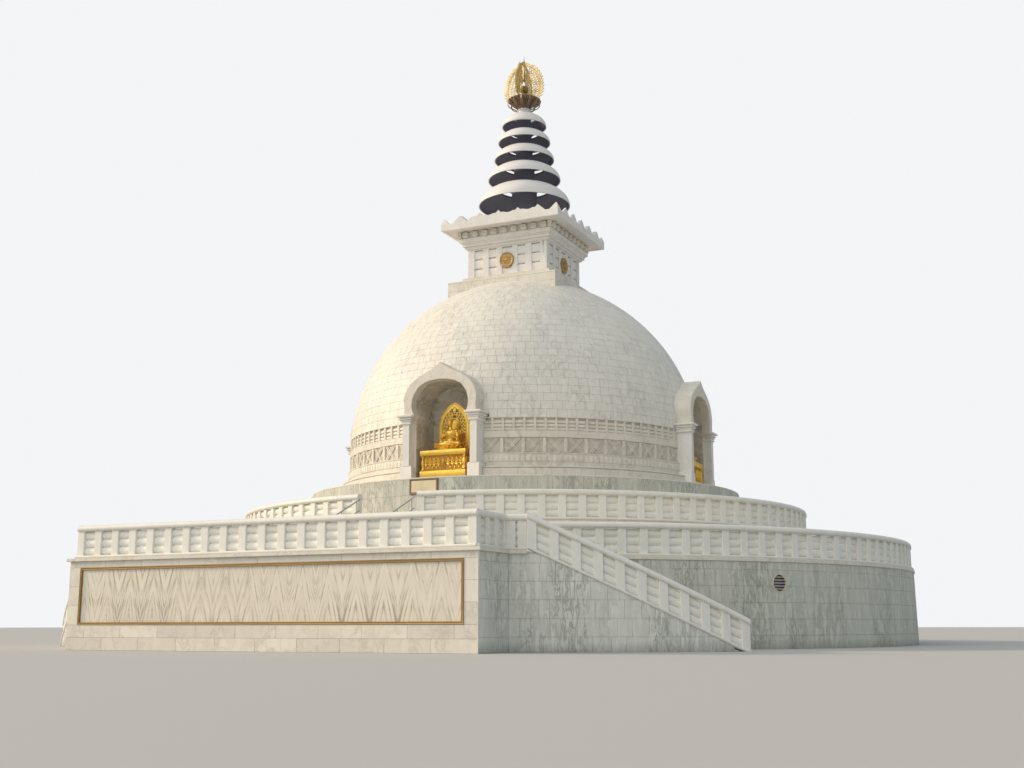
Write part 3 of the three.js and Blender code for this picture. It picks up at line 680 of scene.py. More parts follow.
view = {"place": (22.992, -51.289, 0.776), "lift": 11.023, "turn": 24.77, "roll": 0.056, "lens": 43.54}
lights = {"key": {"turn": -76, "lift": 24, "power": 2.55, "spread": 10, "color": (1.0, 0.77, 0.52)},
          "soft": {"turn": -20, "lift": 40, "power": 1.05, "spread": 60, "color": (1.0, 0.91, 0.80)}}
studio = {"sky": (0.84, 0.93, 1.0), "fill": 0.50, "backdrop": (0.90, 0.91, 0.93),
          "floor": (0.50, 0.50, 0.49)}


def setStage():
    eye = bpy.data.objects.new("camera", bpy.data.cameras.new("camera"))
    eye.data.lens, eye.data.sensor_width = view["lens"], 36
    eye.data.clip_end = 2000
    eye.location = view["place"]
    eye.rotation_euler = [math.radians(v) for v in (90 + view["lift"], view["roll"], view["turn"])]
    lamps = []
    for name, look in lights.items():
        lamp = bpy.data.objects.new(name, bpy.data.lights.new(name, "SUN"))
        lamp.data.energy, lamp.data.color = look["power"], look["color"]
        lamp.data.angle = math.radians(look["spread"])
        way = Vector(polar(look["turn"], 1, math.tan(math.radians(look["lift"]))))
        lamp.rotation_euler = (-way).to_track_quat("-Z", "Y").to_euler()
        lamps.append(lamp)
    floorMesh = bpy.data.meshes.new("floor")
    reach = 400
    floorMesh.from_pydata([(x, y, -0.001) for x, y in ((-reach, -reach), (reach, -reach), (reach, reach),
                                                       (-reach, reach))], [], [(0, 1, 2, 3)])
    floor = bpy.data.objects.new("floor", floorMesh)
    floorMesh.materials.append(newMaterial("floorPaint", studio["floor"], 0.9)[0])
    for item in (eye, floor, *lamps):
        scene.collection.objects.link(item)
    scene.camera = eye
    scene.world = bpy.data.worlds.new("studio")
    scene.world.use_nodes = True
    tree = scene.world.node_tree
    back = tree.nodes["Background"]
    seen = node(tree, "ShaderNodeBackground", {"Color": (*studio["backdrop"], 1), "Strength": 1.0})
    back.inputs["Color"].default_value = (*studio["sky"], 1)
    back.inputs["Strength"].default_value = studio["fill"]
    mixed = node(tree, "ShaderNodeMixShader", {
        0: node(tree, "ShaderNodeLightPath").outputs["Is Camera Ray"], 1: back.outputs[0],
        2: seen.outputs[0]})
    feed(tree, tree.nodes["World Output"].inputs["Surface"], mixed.outputs[0])


setStage()
print("stage ready")


# Terraces, walls and floors.

walls = {"courseLow": 0.44, "course": 0.533, "stoneLow": 0.55, "stone": 0.42, "joint": 0.007, "depth": 0.04,
         "upperCourse": 0.463, "back": 0.015, "ledge": 0.11, "ease": 0.012}
paving = {"course": 0.66, "length": 0.62, "depth": 0.012, "joint": 0.006, "sunk": 0.011, "gap": 0.005}
vents = {"angle": 54.8, "height": 2.15, "rim": 0.30, "thick": 0.03, "bars": 5, "barPitch": 0.098}
terraces = {"lower": {"foot": 0, "top": levels["low"], "wall": radii["lowWall"], "ledge": radii["lowLedge"],
                      "kerb": 0.42, "inner": radii["highLedge"] - 0.1, "sides": 240, "rows": 6, "seed": 5},
            "upper": {"foot": levels["low"], "top": levels["high"], "wall": radii["highWall"],
                      "ledge": radii["highLedge"], "kerb": 0.40, "inner": radii["third"] - 0.1, "sides": 216,
                      "rows": 4, "seed": 7}}
# The courses of the landing's and the stairs' walls: foot, height and count.
blockRows = [(0, 0.44, 1), (0.44, 0.533, 4), (2.572, 0.267, 1)]
lowLeft = math.radians(stairTop)
lowSpan = math.radians(360 - 2 * stairTop)
stone = template("stone", [box(-0.5, 0.5, 0, walls["depth"], -0.5, 0.5)])
slabStone = template("slabStone", [box(-0.5, 0.5, 0, paving["depth"], -0.5, 0.5)])


def courses(name, material, **values):
    return grow(name, courseTree, material,
                **dict({"block": stone, "joint": walls["joint"], "along": 1.0}, **values))


def terraceBody(name):
    # A round wall with a ledge, and a floor that is sunk for its paving.
    size = terraces[name]
    foot, top, ledge, inner = (size[key] for key in ("foot", "top", "ledge", "inner"))
    wall, ease = size["wall"] - walls["back"], walls["ease"]
    kerb, under, sunk = ledge - size["kerb"], top - walls["ledge"], top - paving["sunk"]
    skin = [(0, foot), (wall, foot), (wall, under), (ledge - ease, under), (ledge, under + ease),
            (ledge, top - ease),
            (ledge - ease, top), (kerb, top), (kerb, sunk), (inner, sunk), (inner, top), (0, top)]
    return newPiece(name + "TerraceBody", [turned(skin, size["sides"])], creamMarble)


def finishTerrace(name, body, slabs):
    size = terraces[name]
    floor = grow(name + "Paving", courseTree, creamMarble, block=slabStone, joint=paving["joint"], along=1.0,
                 rows=size["rows"], rowHeight=paving["course"], length=paving["length"],
                 radius=size["ledge"] - size["kerb"] - paving["gap"], tilt=math.radians(90),
                 foot=size["top"], uneven=0.0, seed=size["seed"])
    keep(body, "grey_marble", name + "_terrace")
    keep(slabs, "grey_marble")
    keep(floor, "cream_marble")


def lowerTerrace():
    body, ledge = terraceBody("lower"), radii["lowLedge"]
    rows = [courses("lowerWallCourse", greyMarble, rows=count, rowHeight=high, length=length,
                    radius=ledge - back,
                    start=lowLeft, span=lowSpan, tilt=math.radians(0.8), foot=foot, uneven=uneven, seed=seed)
            for count, high, length, back, foot, uneven, seed in (
                (1, walls["courseLow"], walls["stoneLow"], 0, 0, 0.3, 3),
                (4, walls["course"], walls["stone"], 0.006, walls["courseLow"], 0.35, 11),
                (1, 0.262, walls["stone"], 0.036, walls["courseLow"] + 4 * walls["course"], 0.3, 29))]
    slabs = fuse("lowerWallSlabs", rows)
    for side in (-1, 1):
        for piece, start, deep in ((slabs, 17.2, 2), (body, 16.66, 0.22)):
            place = roundZ(side * vents["angle"]) @ Matrix.Translation((0, -start, vents["height"]))
            cut([piece], [moved(tube([(0, 0, 0), (0, deep, 0)], vents["rim"], 40), place)])
    finishTerrace("lower", body, slabs)


def upperTerrace():
    body = terraceBody("upper")
    slabs = courses("upperWallSlabs", greyMarble, rows=3, rowHeight=walls["upperCourse"],
                    length=walls["stone"],
                    radius=radii["highWall"] + 0.012, foot=levels["low"], tilt=math.radians(0.5), seed=41,
                    uneven=0.3)
    finishTerrace("upper", body, slabs)


def vent(side, name):
    # A round metal rim with thin bars before a dark hole.
    rim, thick = vents["rim"], vents["thick"]
    ring = [(rim - thick, -0.04), (rim - thick, 0.005), (rim - thick * 0.5, 0.014), (rim, 0.005),
            (rim, -0.04)]
    shapes = [moved(turned(ring, 40), upright)]
    for k in range(vents["bars"]):
        z = (k - 2) * vents["barPitch"]
        half = math.sqrt((rim - thick / 2) ** 2 - z * z)
        shapes.append(rod(-half, half, [(-0.010, z + 0.012), (0.012, z + 0.014), (0.016, z - 0.010),
                                        (-0.006, z - 0.014)]))
    place = roundZ(side * vents["angle"]) @ Matrix.Translation((0, -(radii["lowLedge"] - 0.022),
                                                                vents["height"]))
    grid = newPiece(name, [moved(shape, place) for shape in shapes], ventMetal, bevel=0.002)
    # the cup behind the bars is flat dark: painted shade inside the hole
    cup = [(rim - 0.02, 0.0), (rim - 0.01, 0.0), (rim - 0.01, -0.17), (0, -0.17), (0, -0.16),
           (rim - 0.02, -0.16)]
    dark = newPiece(name + "Hole", [moved(moved(turned(cup, 40), upright), place)], darkPaint)
    keep(grid, "brass", "vent_right" if side > 0 else "vent_left")
    keep(dark, "dark_paint")


lowerTerrace()
upperTerrace()
vent(1, "ventRight")
vent(-1, "ventLeft")
print("terraces ready")


# Rail fences.

fence = {"post": 0.28, "thick": 0.25, "ease": 0.014, "bar": 0.252, "barPitch": 0.259, "barFoot": 0.222,
         "barMiddle": 0.125, "barDeep": 0.07, "coping": 0.89, "height": 1.09, "over": 0.035, "kerb": 0.09,
         "kerbOut": 0.075, "front": 7.24, "frontPitch": 0.724, "side": 7.378, "sidePitch": 0.607,
         "stairSpan": 20.2, "stairRadius": 19.41, "stairSlope": -8.824}


def barShapes():
    # Three rounded bars over one another, from one post to the next.
    bars = []
    for i in range(3):
        z = fence["barFoot"] + i * fence["barPitch"]
        bars.append(rod(-0.5, 0.5, [
            (fence["barMiddle"] + fence["barDeep"] * math.cos(t) * (1.0 - 0.12 * abs(math.sin(t))),
             z + fence["bar"] / 2 * math.sin(t)) for t in circle(10, 0.5)]))
    return bars


def postShape():
    half, thick, ease = fence["post"] / 2, fence["thick"], fence["ease"]
    ring = [(-half + ease, 0), (half - ease, 0), (half, ease), (half, thick - ease), (half - ease, thick),
            (-half + ease, thick), (-half, thick - ease), (-half, ease)]
    return slabOver(ring, fence["kerb"] - 0.02, fence["coping"] + 0.02)


def fenceParts():
    over, top, thick, out = fence["over"], fence["height"], fence["thick"], -fence["kerbOut"]
    cap = [(-over, fence["coping"]), (-over, top - 0.10), (-0.015, top - 0.045), (0.035, top - 0.012),
           (thick / 2, top), (thick - 0.035, top - 0.012), (thick + 0.015, top - 0.045),
           (thick + over, top - 0.10), (thick + over, fence["coping"])]
    kerb = [(out, 0), (out, 0.075), (out + 0.015, 0.09), (thick + 0.04, 0.09), (thick + 0.04, 0)]
    return {"post": template("fencePost", [postShape()]), "bars": template("fenceBars", barShapes()),
            "coping": profile("fenceCoping", cap), "kerb": profile("fenceKerb", kerb)}


fenceShapes = fenceParts()


def roundFence(name, radius, first, last, bays, foot, **values):
    # A fence on an arc; first and last are the angles of its outer ends.
    half = fence["post"] / 2
    length = math.radians(last - first) * radius
    return grow(name, fenceTree, railMarble, **dict(
        fenceShapes, bays=bays, pitch=(length - 2 * half) / bays, postHalf=half, radius=radius, along=radius,
        start=math.radians(first) + half / radius, foot=foot, **values))


def straightFence(name, bays, pitch, place, turn):
    made = grow(name, fenceTree, railMarble, **dict(
        fenceShapes, bays=bays, pitch=pitch, postHalf=fence["post"] / 2, straight=True, seed=bays))
    made.data.transform(Matrix.Translation(place) @ roundZ(turn))
    return made


def makeFences():
    low, parts = levels["low"], []
    for name, radius, first, bays, foot, seed in (("lower", 16.525, stairTop, 122, low, 3),
                                                  ("upper", 12.355, 5.76, 102, levels["high"], 5)):
        keep(roundFence(name + "Fence", radius, first, 360 - first, bays, foot, seed=seed), "cream_marble",
             *["%s_rail_%d" % (name, i) for i in range(1, 5)])
    parts = [straightFence("frontFence", 20, fence["frontPitch"], (-fence["front"], -19.83, low), 0)]
    for side, name, y, first in ((-1, "left", -17.868, -24.28), (1, "right", -19.688, 22.44)):
        parts.append(straightFence("sideFence", 3, fence["sidePitch"],
                                   (fence["side"] * side, y, low - 0.002), 90 * side))
        parts.append(roundFence("cornerFence", 19.328, first, first + 1.84, 1, low - 0.004, seed=9))
        outer, slope = fence["stairRadius"], fence["stairSlope"]
        half = fence["post"] / 2 / outer
        run = math.radians(fence["stairSpan"]) - 2 * half
        start = math.radians(stairTop if side > 0 else -stairTop - fence["stairSpan"]) + half
        foot = low - 0.02 if side > 0 else low - 0.02 + slope * run
        stair = grow("stairFence", fenceTree, railMarble, **dict(
            fenceShapes, bays=10, pitch=run * outer / 10, postHalf=fence["post"] / 2, radius=outer,
            along=outer, start=start, foot=foot, slope=slope * side, lowest=0.0, seed=13))
        keep(stair, "cream_marble", "stair_%s_rail" % name)
    keep(fuse("frontFence", parts), "cream_marble", "front_rail")


makeFences()
print("fences ready")


# The landing in front and its curved stairs.

landing = {"half": 7.5, "front": -19.95, "reach": 0.1, "slab": 0.11, "core": 0.03, "panelHalf": 7.05,
           "panelLow": 0.80, "panelHigh": 2.64, "panelIn": 0.09, "frame": 0.08, "borderFoot": 0.40,
           "borderTop": 2.84, "border": 1.5, "joint": 0.003, "slabDepth": 0.033, "paving": 0.62}
stairs = {"risers": 20, "tread": 1.0, "wall": 0.30, "slope": 0.154, "end": 42.8, "facing": 22.68,
          "lip": 0.02, "treadHigh": 0.03, "facingTop": 2.839}


def flatCourses(name, material, width, place, turn, **values):
    # Courses on a flat wall: the wrap's radius is so large that they don't bend.
    far = 1000.0
    made = courses(name, material, radius=far, start=-width / 2 / far, span=width / far, stagger=0.0,
                   **values)
    made.data.transform(Matrix.Translation(place) @ roundZ(turn) @ Matrix.Translation((0, far, 0)))
    return made


def landingOutline(grow, inner, steps=10):
    half, outer = landing["half"] + grow, radii["stairOuter"] + grow
    turn = math.degrees(math.asin(half / outer))
    right = [polar(turn + (stairTop - turn) * i / 3, outer)[:2] for i in range(4)]
    back = [polar(stairTop - 2 * stairTop * i / steps, inner)[:2] for i in range(steps + 1)]
    return [(-half, landing["front"] - grow), (half, landing["front"] - grow), *right, *back,
            *[(-x, y) for x, y in reversed(right)]]


def frontBlock():
    low, half, joint, front = levels["low"], landing["half"], landing["joint"], landing["front"]
    inner = radii["lowLedge"] / math.cos(math.radians(stairTop / 10))
    core = newPiece("frontBlockCore", [slabOver(landingOutline(-landing["core"], inner), 0, low - 0.10)],
                    creamMarble)
    cut([core], [box(-landing["panelHalf"], landing["panelHalf"], -20.5, front + landing["panelIn"],
                     landing["panelLow"], landing["panelHigh"])])
    ledge = newPiece("frontBlockLedge",
                     [slabOver(landingOutline(landing["reach"], inner), low - landing["slab"],
                               low - 0.008)], creamMarble, bevel=0.012, segments=2)
    slabs, tones, wide = [], [], landing["border"]

    def slab(x0, x1, z0, z1, tone):
        slabs.append(box(x0 + joint, x1 - joint, front, front + landing["slabDepth"], z0 + joint,
                         z1 - joint))
        tones.append(tone)

    for i in range(10):
        for j, (z0, z1) in enumerate(((0.0, landing["borderFoot"]),
                                      (landing["borderFoot"], landing["panelLow"]),
                                      (landing["panelHigh"], landing["borderTop"]))):
            x0 = wide * i - half + (wide / 2 if j == 1 else 0)
            if j == 1 and i == 0:
                slab(-half, x0, z0, z1, 0.5)
            slab(x0, min(x0 + wide, half), z0, z1, (i * 37 + j * 11) % 17 / 17)
    high = 0.6133  # three slabs beside the panel
    for side in (-1, 1):
        for k in range(3):
            x0, x1 = sorted((side * landing["panelHalf"], side * half))
            slab(x0, x1, landing["panelLow"] + k * high, landing["panelLow"] + (k + 1) * high,
                 (k * 5 + side) % 7 / 7)
    parts = [ledge, newPiece("frontBorder", slabs, creamMarble, bevel=0.004, tones=tones)]
    for side in (-1, 1):
        for (foot, high, rows), seed in zip(blockRows, (3, 8, 15)):
            parts.append(flatCourses("sideWall", sideMarble, 2.0, (side * half, -18.95, foot), 90 * side,
                                     rows=rows, rowHeight=high, length=0.45, seed=seed))
    keep(core, "grey_marble", "front_block")
    keep(fuse("frontBlockSlabs", parts), "grey_marble")


def frontPanel():
    half, low, high, wide = landing["panelHalf"], landing["panelLow"], landing["panelHigh"], landing["frame"]
    front, count, joint = landing["front"], 15, 0.0012
    back = front + landing["panelIn"] - 0.001
    xs = [-half + wide + 2 * (half - wide) * i / count for i in range(count + 1)]
    panel = newPiece("frontPanelSlabs",
                     [box(x0 + joint, x1 - joint, front + 0.04, back, low + wide, high - wide)
                      for x0, x1 in zip(xs, xs[1:])], panelMarble, bevel=0.0015)
    border = newPiece("frontPanelEdging", [edging(-half, half, low, high, [
        (0.0, back), (0.0, front - 0.014), (0.012, front - 0.02), (0.026, front - 0.012),
        (0.055, front - 0.012), (0.068, front - 0.02), (wide, front - 0.010), (wide, back)])], brass)
    keep(panel, "cream_marble", "front_panel")
    keep(border, "brass", "front_panel_frame")


def landingFloor():
    # Paving slabs cut to the landing's outline.
    low, size, gap = levels["low"], landing["paving"], landing["joint"]
    slabs, tones = [], []
    for i in range(-13, 13):
        for j in range(-33, -23):
            x, y = i * size, j * size
            slabs.append(box(x + gap, x + size - gap, y + gap, y + size - gap, low - 0.0065, low + 0.003))
            tones.append((i * 29 + j * 17) % 23 / 23)
    floor = newPiece("landingPaving", slabs, creamMarble, tones=tones)
    outline = landingOutline(-0.4, radii["lowLedge"] - terraces["lower"]["kerb"] - 0.002, 40)
    cut([floor], [slabOver(outline, low - 0.1, low + 0.1)], "INTERSECT")
    keep(floor, "cream_marble")


def stairFlight(side, name):
    rise, inner, high = levels["low"] / stairs["risers"], radii["stairInner"], stairs["treadHigh"]
    outer = radii["stairOuter"] - stairs["wall"]
    lip = math.degrees(stairs["lip"] / outer)
    steps, tones = [], []
    for i in range(1, stairs["risers"]):
        first = stairTop + stairs["tread"] * (i - 1) + (0.003 if i == 1 else 0)
        last, z = stairTop + stairs["tread"] * i, levels["low"] - rise * i
        for low, top, end in ((0, z - high, last), (z - high, z, last + lip)):
            ring = [(inner, low), (outer - 0.001, low), (outer - 0.001, top), (inner, top)]
            steps.append(loft([[polar(side * a, r, h) for r, h in ring]
                               for a in (first, (first + last) / 2, end)]))
        tones += [0.2 + 0.3 * (i * 7 % 5) / 5, 0.5 + 0.5 * (i * 11 % 7) / 7]
    flight = newPiece("stair%sSteps" % name, steps, greyMarble, bevel=0.004, tones=tones)
    for vertex in flight.data.vertices:
        vertex.co.z = max(vertex.co.z, 0.0)
    keep(flight, "grey_marble", "stair_%s_flight" % name.lower())


def stairWall(side, name):
    # The outer wall, faced with the same courses, under the slope of the fence.
    end, first, facingTop = (stairs[key] for key in ("end", "facing", "facingTop"))
    outer, low = radii["stairOuter"], levels["low"]
    inner = outer - stairs["wall"] + 0.001

    def topAt(angle):
        return max(min(low + 0.04 - stairs["slope"] * (angle - stairTop), low - 0.02), 0.0)

    def section(angle, r0, r1, z0, z1):
        return [polar(side * angle, r, z) for r, z in ((r0, z0), (r1, z0), (r1, z1), (r0, z1))]

    angles = [stairTop + 0.003 + (end - stairTop) * i / 24 for i in range(25)]
    wall = newPiece("stair%sWallCore" % name, [loft([
        section(a, inner, outer - 0.03, 0, max(topAt(a), 0.002)) for a in angles])], greyMarble)
    start = math.radians(first if side > 0 else -end)
    slabs = fuse("stair%sWallSlabs" % name, [
        courses("stairWallSlabs", sideMarble, radius=outer, start=start, span=math.radians(end - first),
                rows=count, rowHeight=high, length=0.44, foot=foot, seed=seed, stagger=0.0)
        for (foot, high, count), seed in zip(blockRows, (21, 27, 33))])
    over = [(20, facingTop)] + [(a, min(topAt(a), facingTop)) for a in (
        stairTop + (end + 2 - stairTop) * i / 40 for i in range(41))]
    cut([slabs], [loft([section(a, outer - 0.6, outer + 0.6, z, 6) for a, z in over])])
    keep(wall, "grey_marble", "stair_%s_wall" % name.lower())
    keep(slabs, "grey_marble")


frontBlock()
frontPanel()
landingFloor()
for side, name in ((-1, "Left"), (1, "Right")):
    stairFlight(side, name)
    stairWall(side, name)
print("landing ready")


# The third drum, its plate, the front steps and their handrails.

frontSteps = {"half": 1.24, "risers": 10, "tread": 0.34, "back": -12.3503, "nosing": 0.025,
              "treadHigh": 0.035}
plaque = {"half": 0.62, "low": 5.73, "high": 6.33, "inHalf": 0.54, "inLow": 5.81, "inHigh": 6.25,
          "deep": 0.09}
handrail = {"x": 1.15, "radius": 0.025, "post": 0.022, "above": 0.85, "drop": 0.40}


def thirdDrum():
    low, high, face, p = levels["high"], levels["third"], radii["third"], plaque
    skin = [(0, low), (face - 0.03, low), (face - 0.03, high - 0.05), (face, high - 0.05),
            (face, high - 0.012), (face - 0.012, high), (0, high)]
    body = newPiece("thirdDrumBody", [turned(skin, 192)], creamMarble)
    slabs = courses("thirdDrumSlabs", greyMarble, rows=3, rowHeight=(high - 0.053 - low) / 3, length=0.50,
                    radius=face, foot=low, seed=51, uneven=0.3)
    back, front, gap = -face + p["deep"], -face - 0.04, 0.001
    cut([body, slabs], [box(-p["half"] - gap, p["half"] + gap, -face - 0.5, back, p["low"] - gap,
                            p["high"] + gap)])
    plateBody = newPiece("frontPlate", [box(-p["inHalf"], p["inHalf"], front + 0.012, back - gap, p["inLow"],
                                            p["inHigh"])], plateMarble, bevel=0.004)
    border = newPiece("frontPlateFrame", [edging(-p["half"], p["half"], p["low"], p["high"], [
        (0, back - gap), (0, front + 0.012), (0.012, front), (0.045, front), (0.07, front + 0.014),
        (0.082, front + 0.02), (0.082, back - gap)])], darkBronze)
    keep(body, "grey_marble", "third_drum")
    keep(slabs, "grey_marble")
    keep(plateBody, "brass", "front_plaque")
    keep(border, "brass")


def makeFrontSteps():
    half, back, tread, high = (frontSteps[key] for key in ("half", "back", "tread", "treadHigh"))
    rise, shapes, tones = (levels["high"] - levels["low"]) / frontSteps["risers"], [], []
    for i in range(1, frontSteps["risers"]):
        y, z = back - tread * (frontSteps["risers"] - i), levels["low"] + rise * i
        shapes.append(box(-half, half, y, back, z - rise, z - high))
        shapes.append(box(-half, half, y - frontSteps["nosing"] if i > 1 else y, back, z - high, z))
        tones += [0.3, 0.5 + 0.4 * (i * 5 % 7) / 7]
    keep(newPiece("frontStepsBlocks", shapes, greyMarble, bevel=0.006, tones=tones), "grey_marble",
         "front_steps")


def handrailAt(sign, name):
    rise, x = (levels["high"] - levels["low"]) / frontSteps["risers"], sign * handrail["x"]
    feet = []
    for i in (1, 4, 7):
        y, foot = frontSteps["back"] - frontSteps["tread"] * (i - 0.5), levels["high"] - rise * i
        feet.append((Vector((x, y, foot)), Vector((x, y, foot + handrail["above"] + rise / 2))))
    collar = [(0.055, 0), (0.055, 0.008), (0.034, 0.02), (0.03, 0.05), (0.0, 0.05), (0.0, 0)]
    shapes = [tube([a, b], handrail["post"], 14) for a, b in feet]
    shapes += [moved(turned(collar, 16), Matrix.Translation(a)) for a, b in feet]
    tops = [b for a, b in feet]
    run = (tops[2] - tops[0]) / 6
    for drop in (Vector((0, 0, 0)), Vector((0, 0, handrail["drop"]))):
        shapes.append(tube([p - drop for p in (tops[0] - run * 0.6, *tops, tops[2] + run * 1.2)],
                           handrail["radius"], 16))
    keep(newPiece("handrailTubes" + name.capitalize(), shapes, steel), "steel", "handrail_" + name)


thirdDrum()
makeFrontSteps()
handrailAt(1, "right")
handrailAt(-1, "left")
print("drum and steps ready")


# The dome and the carved bands under it.

drum = {"petal": 1.53, "petalLow": 7.08, "petalHigh": 7.36, "panel": 6.13, "bandHigh": 8.32, "louvre": 3.066}
domeStone = {"row": 0.34, "length": 0.46, "joint": 0.006, "rows": 28, "depth": 0.03, "ease": 0.005}
arch = {"outer": [(1.62, 9.08), (1.60, 9.35), (1.64, 9.70), (1.54, 10.05), (1.33, 10.35), (1.00, 10.59),
                  (0.65, 10.77), (0.28, 10.95), (0, 11.17)],
        "inner": [(1.14, 9.06), (1.22, 9.20), (1.27, 9.50), (1.20, 9.85), (1.03, 10.11), (1.03, 10.11),
                  (0.96, 10.20), (0.72, 10.34), (0.40, 10.43), (0, 10.47)],
        "front": -8.35, "side": -8.02, "back": -6.30, "hollow": -6.52, "floor": 6.52, "half": 1.23}
pillars = [(1.24, 1.78, 0.06, 6.38, 7.04), (1.36, 1.66, 0.0, 7.03, 8.73), (1.27, 1.77, 0.06, 8.72, 8.90),
           (1.16, 1.88, 0.12, 8.89, 9.08)]


def archLine(points, foot, steps=4, grow=0.0):
    # The whole outline of an arch, from its right foot over the tip to its left foot.
    right = [p[:2] for p in curveThrough([(x, z, 0) for x, z in points], steps)]
    right = [(x + grow if x > 0.01 else x, z + grow) for x, z in right]
    right = [(right[0][0], foot)] + right
    return right + [(-x, z) for x, z in reversed(right[:-1])]


def fourfold(piece):
    # The same work on the other three sides.
    return fuse(piece.name, [piece] + [twin(piece, turn, piece.name) for turn in (90, 180, 270)])


def nicheHoles(grow=0.003):
    hole = newPiece("nicheHoles", [plate(archLine(arch["outer"], levels["third"] - 0.02, grow=grow),
                                         arch["front"] - 0.9, arch["back"] + grow)], None)
    for x0, x1, reach, z0, z1 in pillars:
        for side in (-1, 1):
            a, b = sorted((side * (x0 - grow), side * (x1 + grow)))
            cut([hole], [box(a, b, arch["front"] - reach - 0.2, -7.45, z0 - grow, z1 + grow)], "UNION")
    return fourfold(hole)


def petalShape():
    # A rounded tongue in low relief, 1 wide and 1 high.
    rings = []
    for s, y in ((1.0, 0.0), (0.92, -0.6), (0.62, -1.0)):
        arc = [(0.46 * s * math.cos(math.pi * k / 6), y, 0.62 + 0.36 * s * math.sin(math.pi * k / 6))
               for k in range(7)]
        rings.append([(0.46 * s, y, 0.08), *arc, (-0.46 * s, y, 0.08)])
    return loft(rings)


def latticePanel(width, high):
    # Crossed double ribs beside a post.
    post, rib = 0.13, 0.040
    half = width / 2 - post / 2
    shapes = [box(-width / 2 - post / 2, -width / 2 + post / 2, -0.058, 0.02, 0, high)]
    for sign in (-1, 1):
        for shift in (-0.045, 0.045):
            # each rib ends on the floor and the top of the panel
            run = 2 * half - 0.20
            x0, x1 = -sign * run / 2 + shift * sign, sign * run / 2 + shift * sign
            lean = (x1 - x0) / high
            flat = rib * math.sqrt(1 + lean * lean) / 2
            ring = [(x0 - flat, 0.004), (x0 + flat, 0.004), (x1 + flat, high - 0.004),
                    (x1 - flat, high - 0.004)]
            y = -0.046 if sign > 0 else -0.043
            shapes.append(plate(ring, 0.02, y))
    return shapes


def louvrePanel(width, high):
    # A post and three bars that lean out a little, with a deep shadow over the top one.
    post = 0.10
    shapes = [box(-width / 2, -width / 2 + post, -0.09, 0.02, 0, high)]
    tall = (high - 0.07) / 3
    for k in range(3):
        z0 = k * tall
        section = [(0.02, z0 + 0.004), (-0.03, z0 + 0.004), (-0.055, z0 + 0.03), (-0.055, z0 + tall - 0.06),
                   (-0.035, z0 + tall - 0.022), (0.02, z0 + tall - 0.022)]
        shapes.append(rod(-width / 2 + post, width / 2, section))
    return shapes


def bandCopies(name, shapes, count, step, radius, height, first, **values):
    copy = template(name + "Shape", shapes)
    band = grow(name, ringTree, creamMarble, shape=copy, count=count,
                step=math.radians(step), start=math.radians(first), radius=radius, height=height, **values)
    return fourfold(band)


def drumAndRing(holes):
    low, ringTop, face = levels["third"], levels["ringTop"], radii["drum"]
    # a foot and a lip stand out over and under the facing slabs, with a sunk joint at each
    out = radii["ring"]
    skin = [(0, low), (out - 0.002, low), (out + 0.004, low + 0.006), (out + 0.004, low + 0.085),
            (out - 0.04, low + 0.092), (out - 0.04, ringTop - 0.052), (out + 0.012, ringTop - 0.046),
            (out + 0.014, ringTop - 0.008), (out + 0.004, ringTop), (0, ringTop)]
    ring = newPiece("domeRingBody", [turned(skin, 192)], creamMarble)
    facing = courses("domeRingSlabs", creamMarble, rows=1, rowHeight=ringTop - low - 0.184, length=0.62,
                     radius=out - 0.004, foot=low + 0.112, seed=61, uneven=0.2)
    base = newPiece("drumBody", [turned([
        (0, ringTop), (7.99, ringTop), (7.99, ringTop + 0.03), (7.955, ringTop + 0.05), (7.955, 7.38),
        (7.985, 7.41), (7.985, 7.44), (face - 0.065, 7.452), (face - 0.065, 8.045), (face, 8.06),
        (face, drum["bandHigh"]), (face - 0.09, drum["bandHigh"] + 0.01), (face - 0.09, 8.84), (face, 8.845),
        (face, 8.86), (0, 8.86)], 192)], creamMarble)
    plain = courses("drumPlainBand", creamMarble, rows=1, rowHeight=0.25, length=0.8, radius=face + 0.006,
                    foot=8.065, seed=71, uneven=0.2)
    # the sunk grounds behind the crossed ribs and the bars are in a darker marble: painted shade in the
    # recesses
    grounds = newPiece("drumGrounds", [turned([(r - 0.03, z0), (r, z0), (r, z1), (r - 0.03, z1)], 192)
                                       for r, z0, z1 in ((face - 0.063, 7.453, 8.044),
                                                         (face - 0.088, 8.331, 8.839))], groundMarble)
    width, high = math.radians(drum["petal"]) * 7.955, drum["petalHigh"] - drum["petalLow"]
    points, faces = petalShape()
    petals = [([(x * width, y * 0.03 + 0.001, z * high) for x, y, z in points], faces)]
    parts = [plain, grounds]
    parts.append(bandCopies("petalBand", petals, 59, drum["petal"], 7.955, drum["petalLow"],
                            45 - 29 * drum["petal"]))
    panel = math.radians(drum["panel"]) * (face - 0.065)
    parts.append(bandCopies("latticeBand", latticePanel(panel, 0.585), 11, drum["panel"], face - 0.065,
                            7.455, 45 - 5 * drum["panel"]))
    louvre = math.radians(drum["louvre"]) * (face - 0.09)
    parts.append(bandCopies("louvreBand", louvrePanel(louvre, 0.51), 22, drum["louvre"], face - 0.09, 8.325,
                            45 - 10.5 * drum["louvre"]))
    for piece in (ring, facing, base, *parts):
        carve(piece, holes)
    keep(ring, "white_marble", "dome_ring")
    keep(facing, "white_marble")
    keep(base, "cream_marble", "dome_drum")
    keep(fuse("drumBands", parts), "cream_marble")


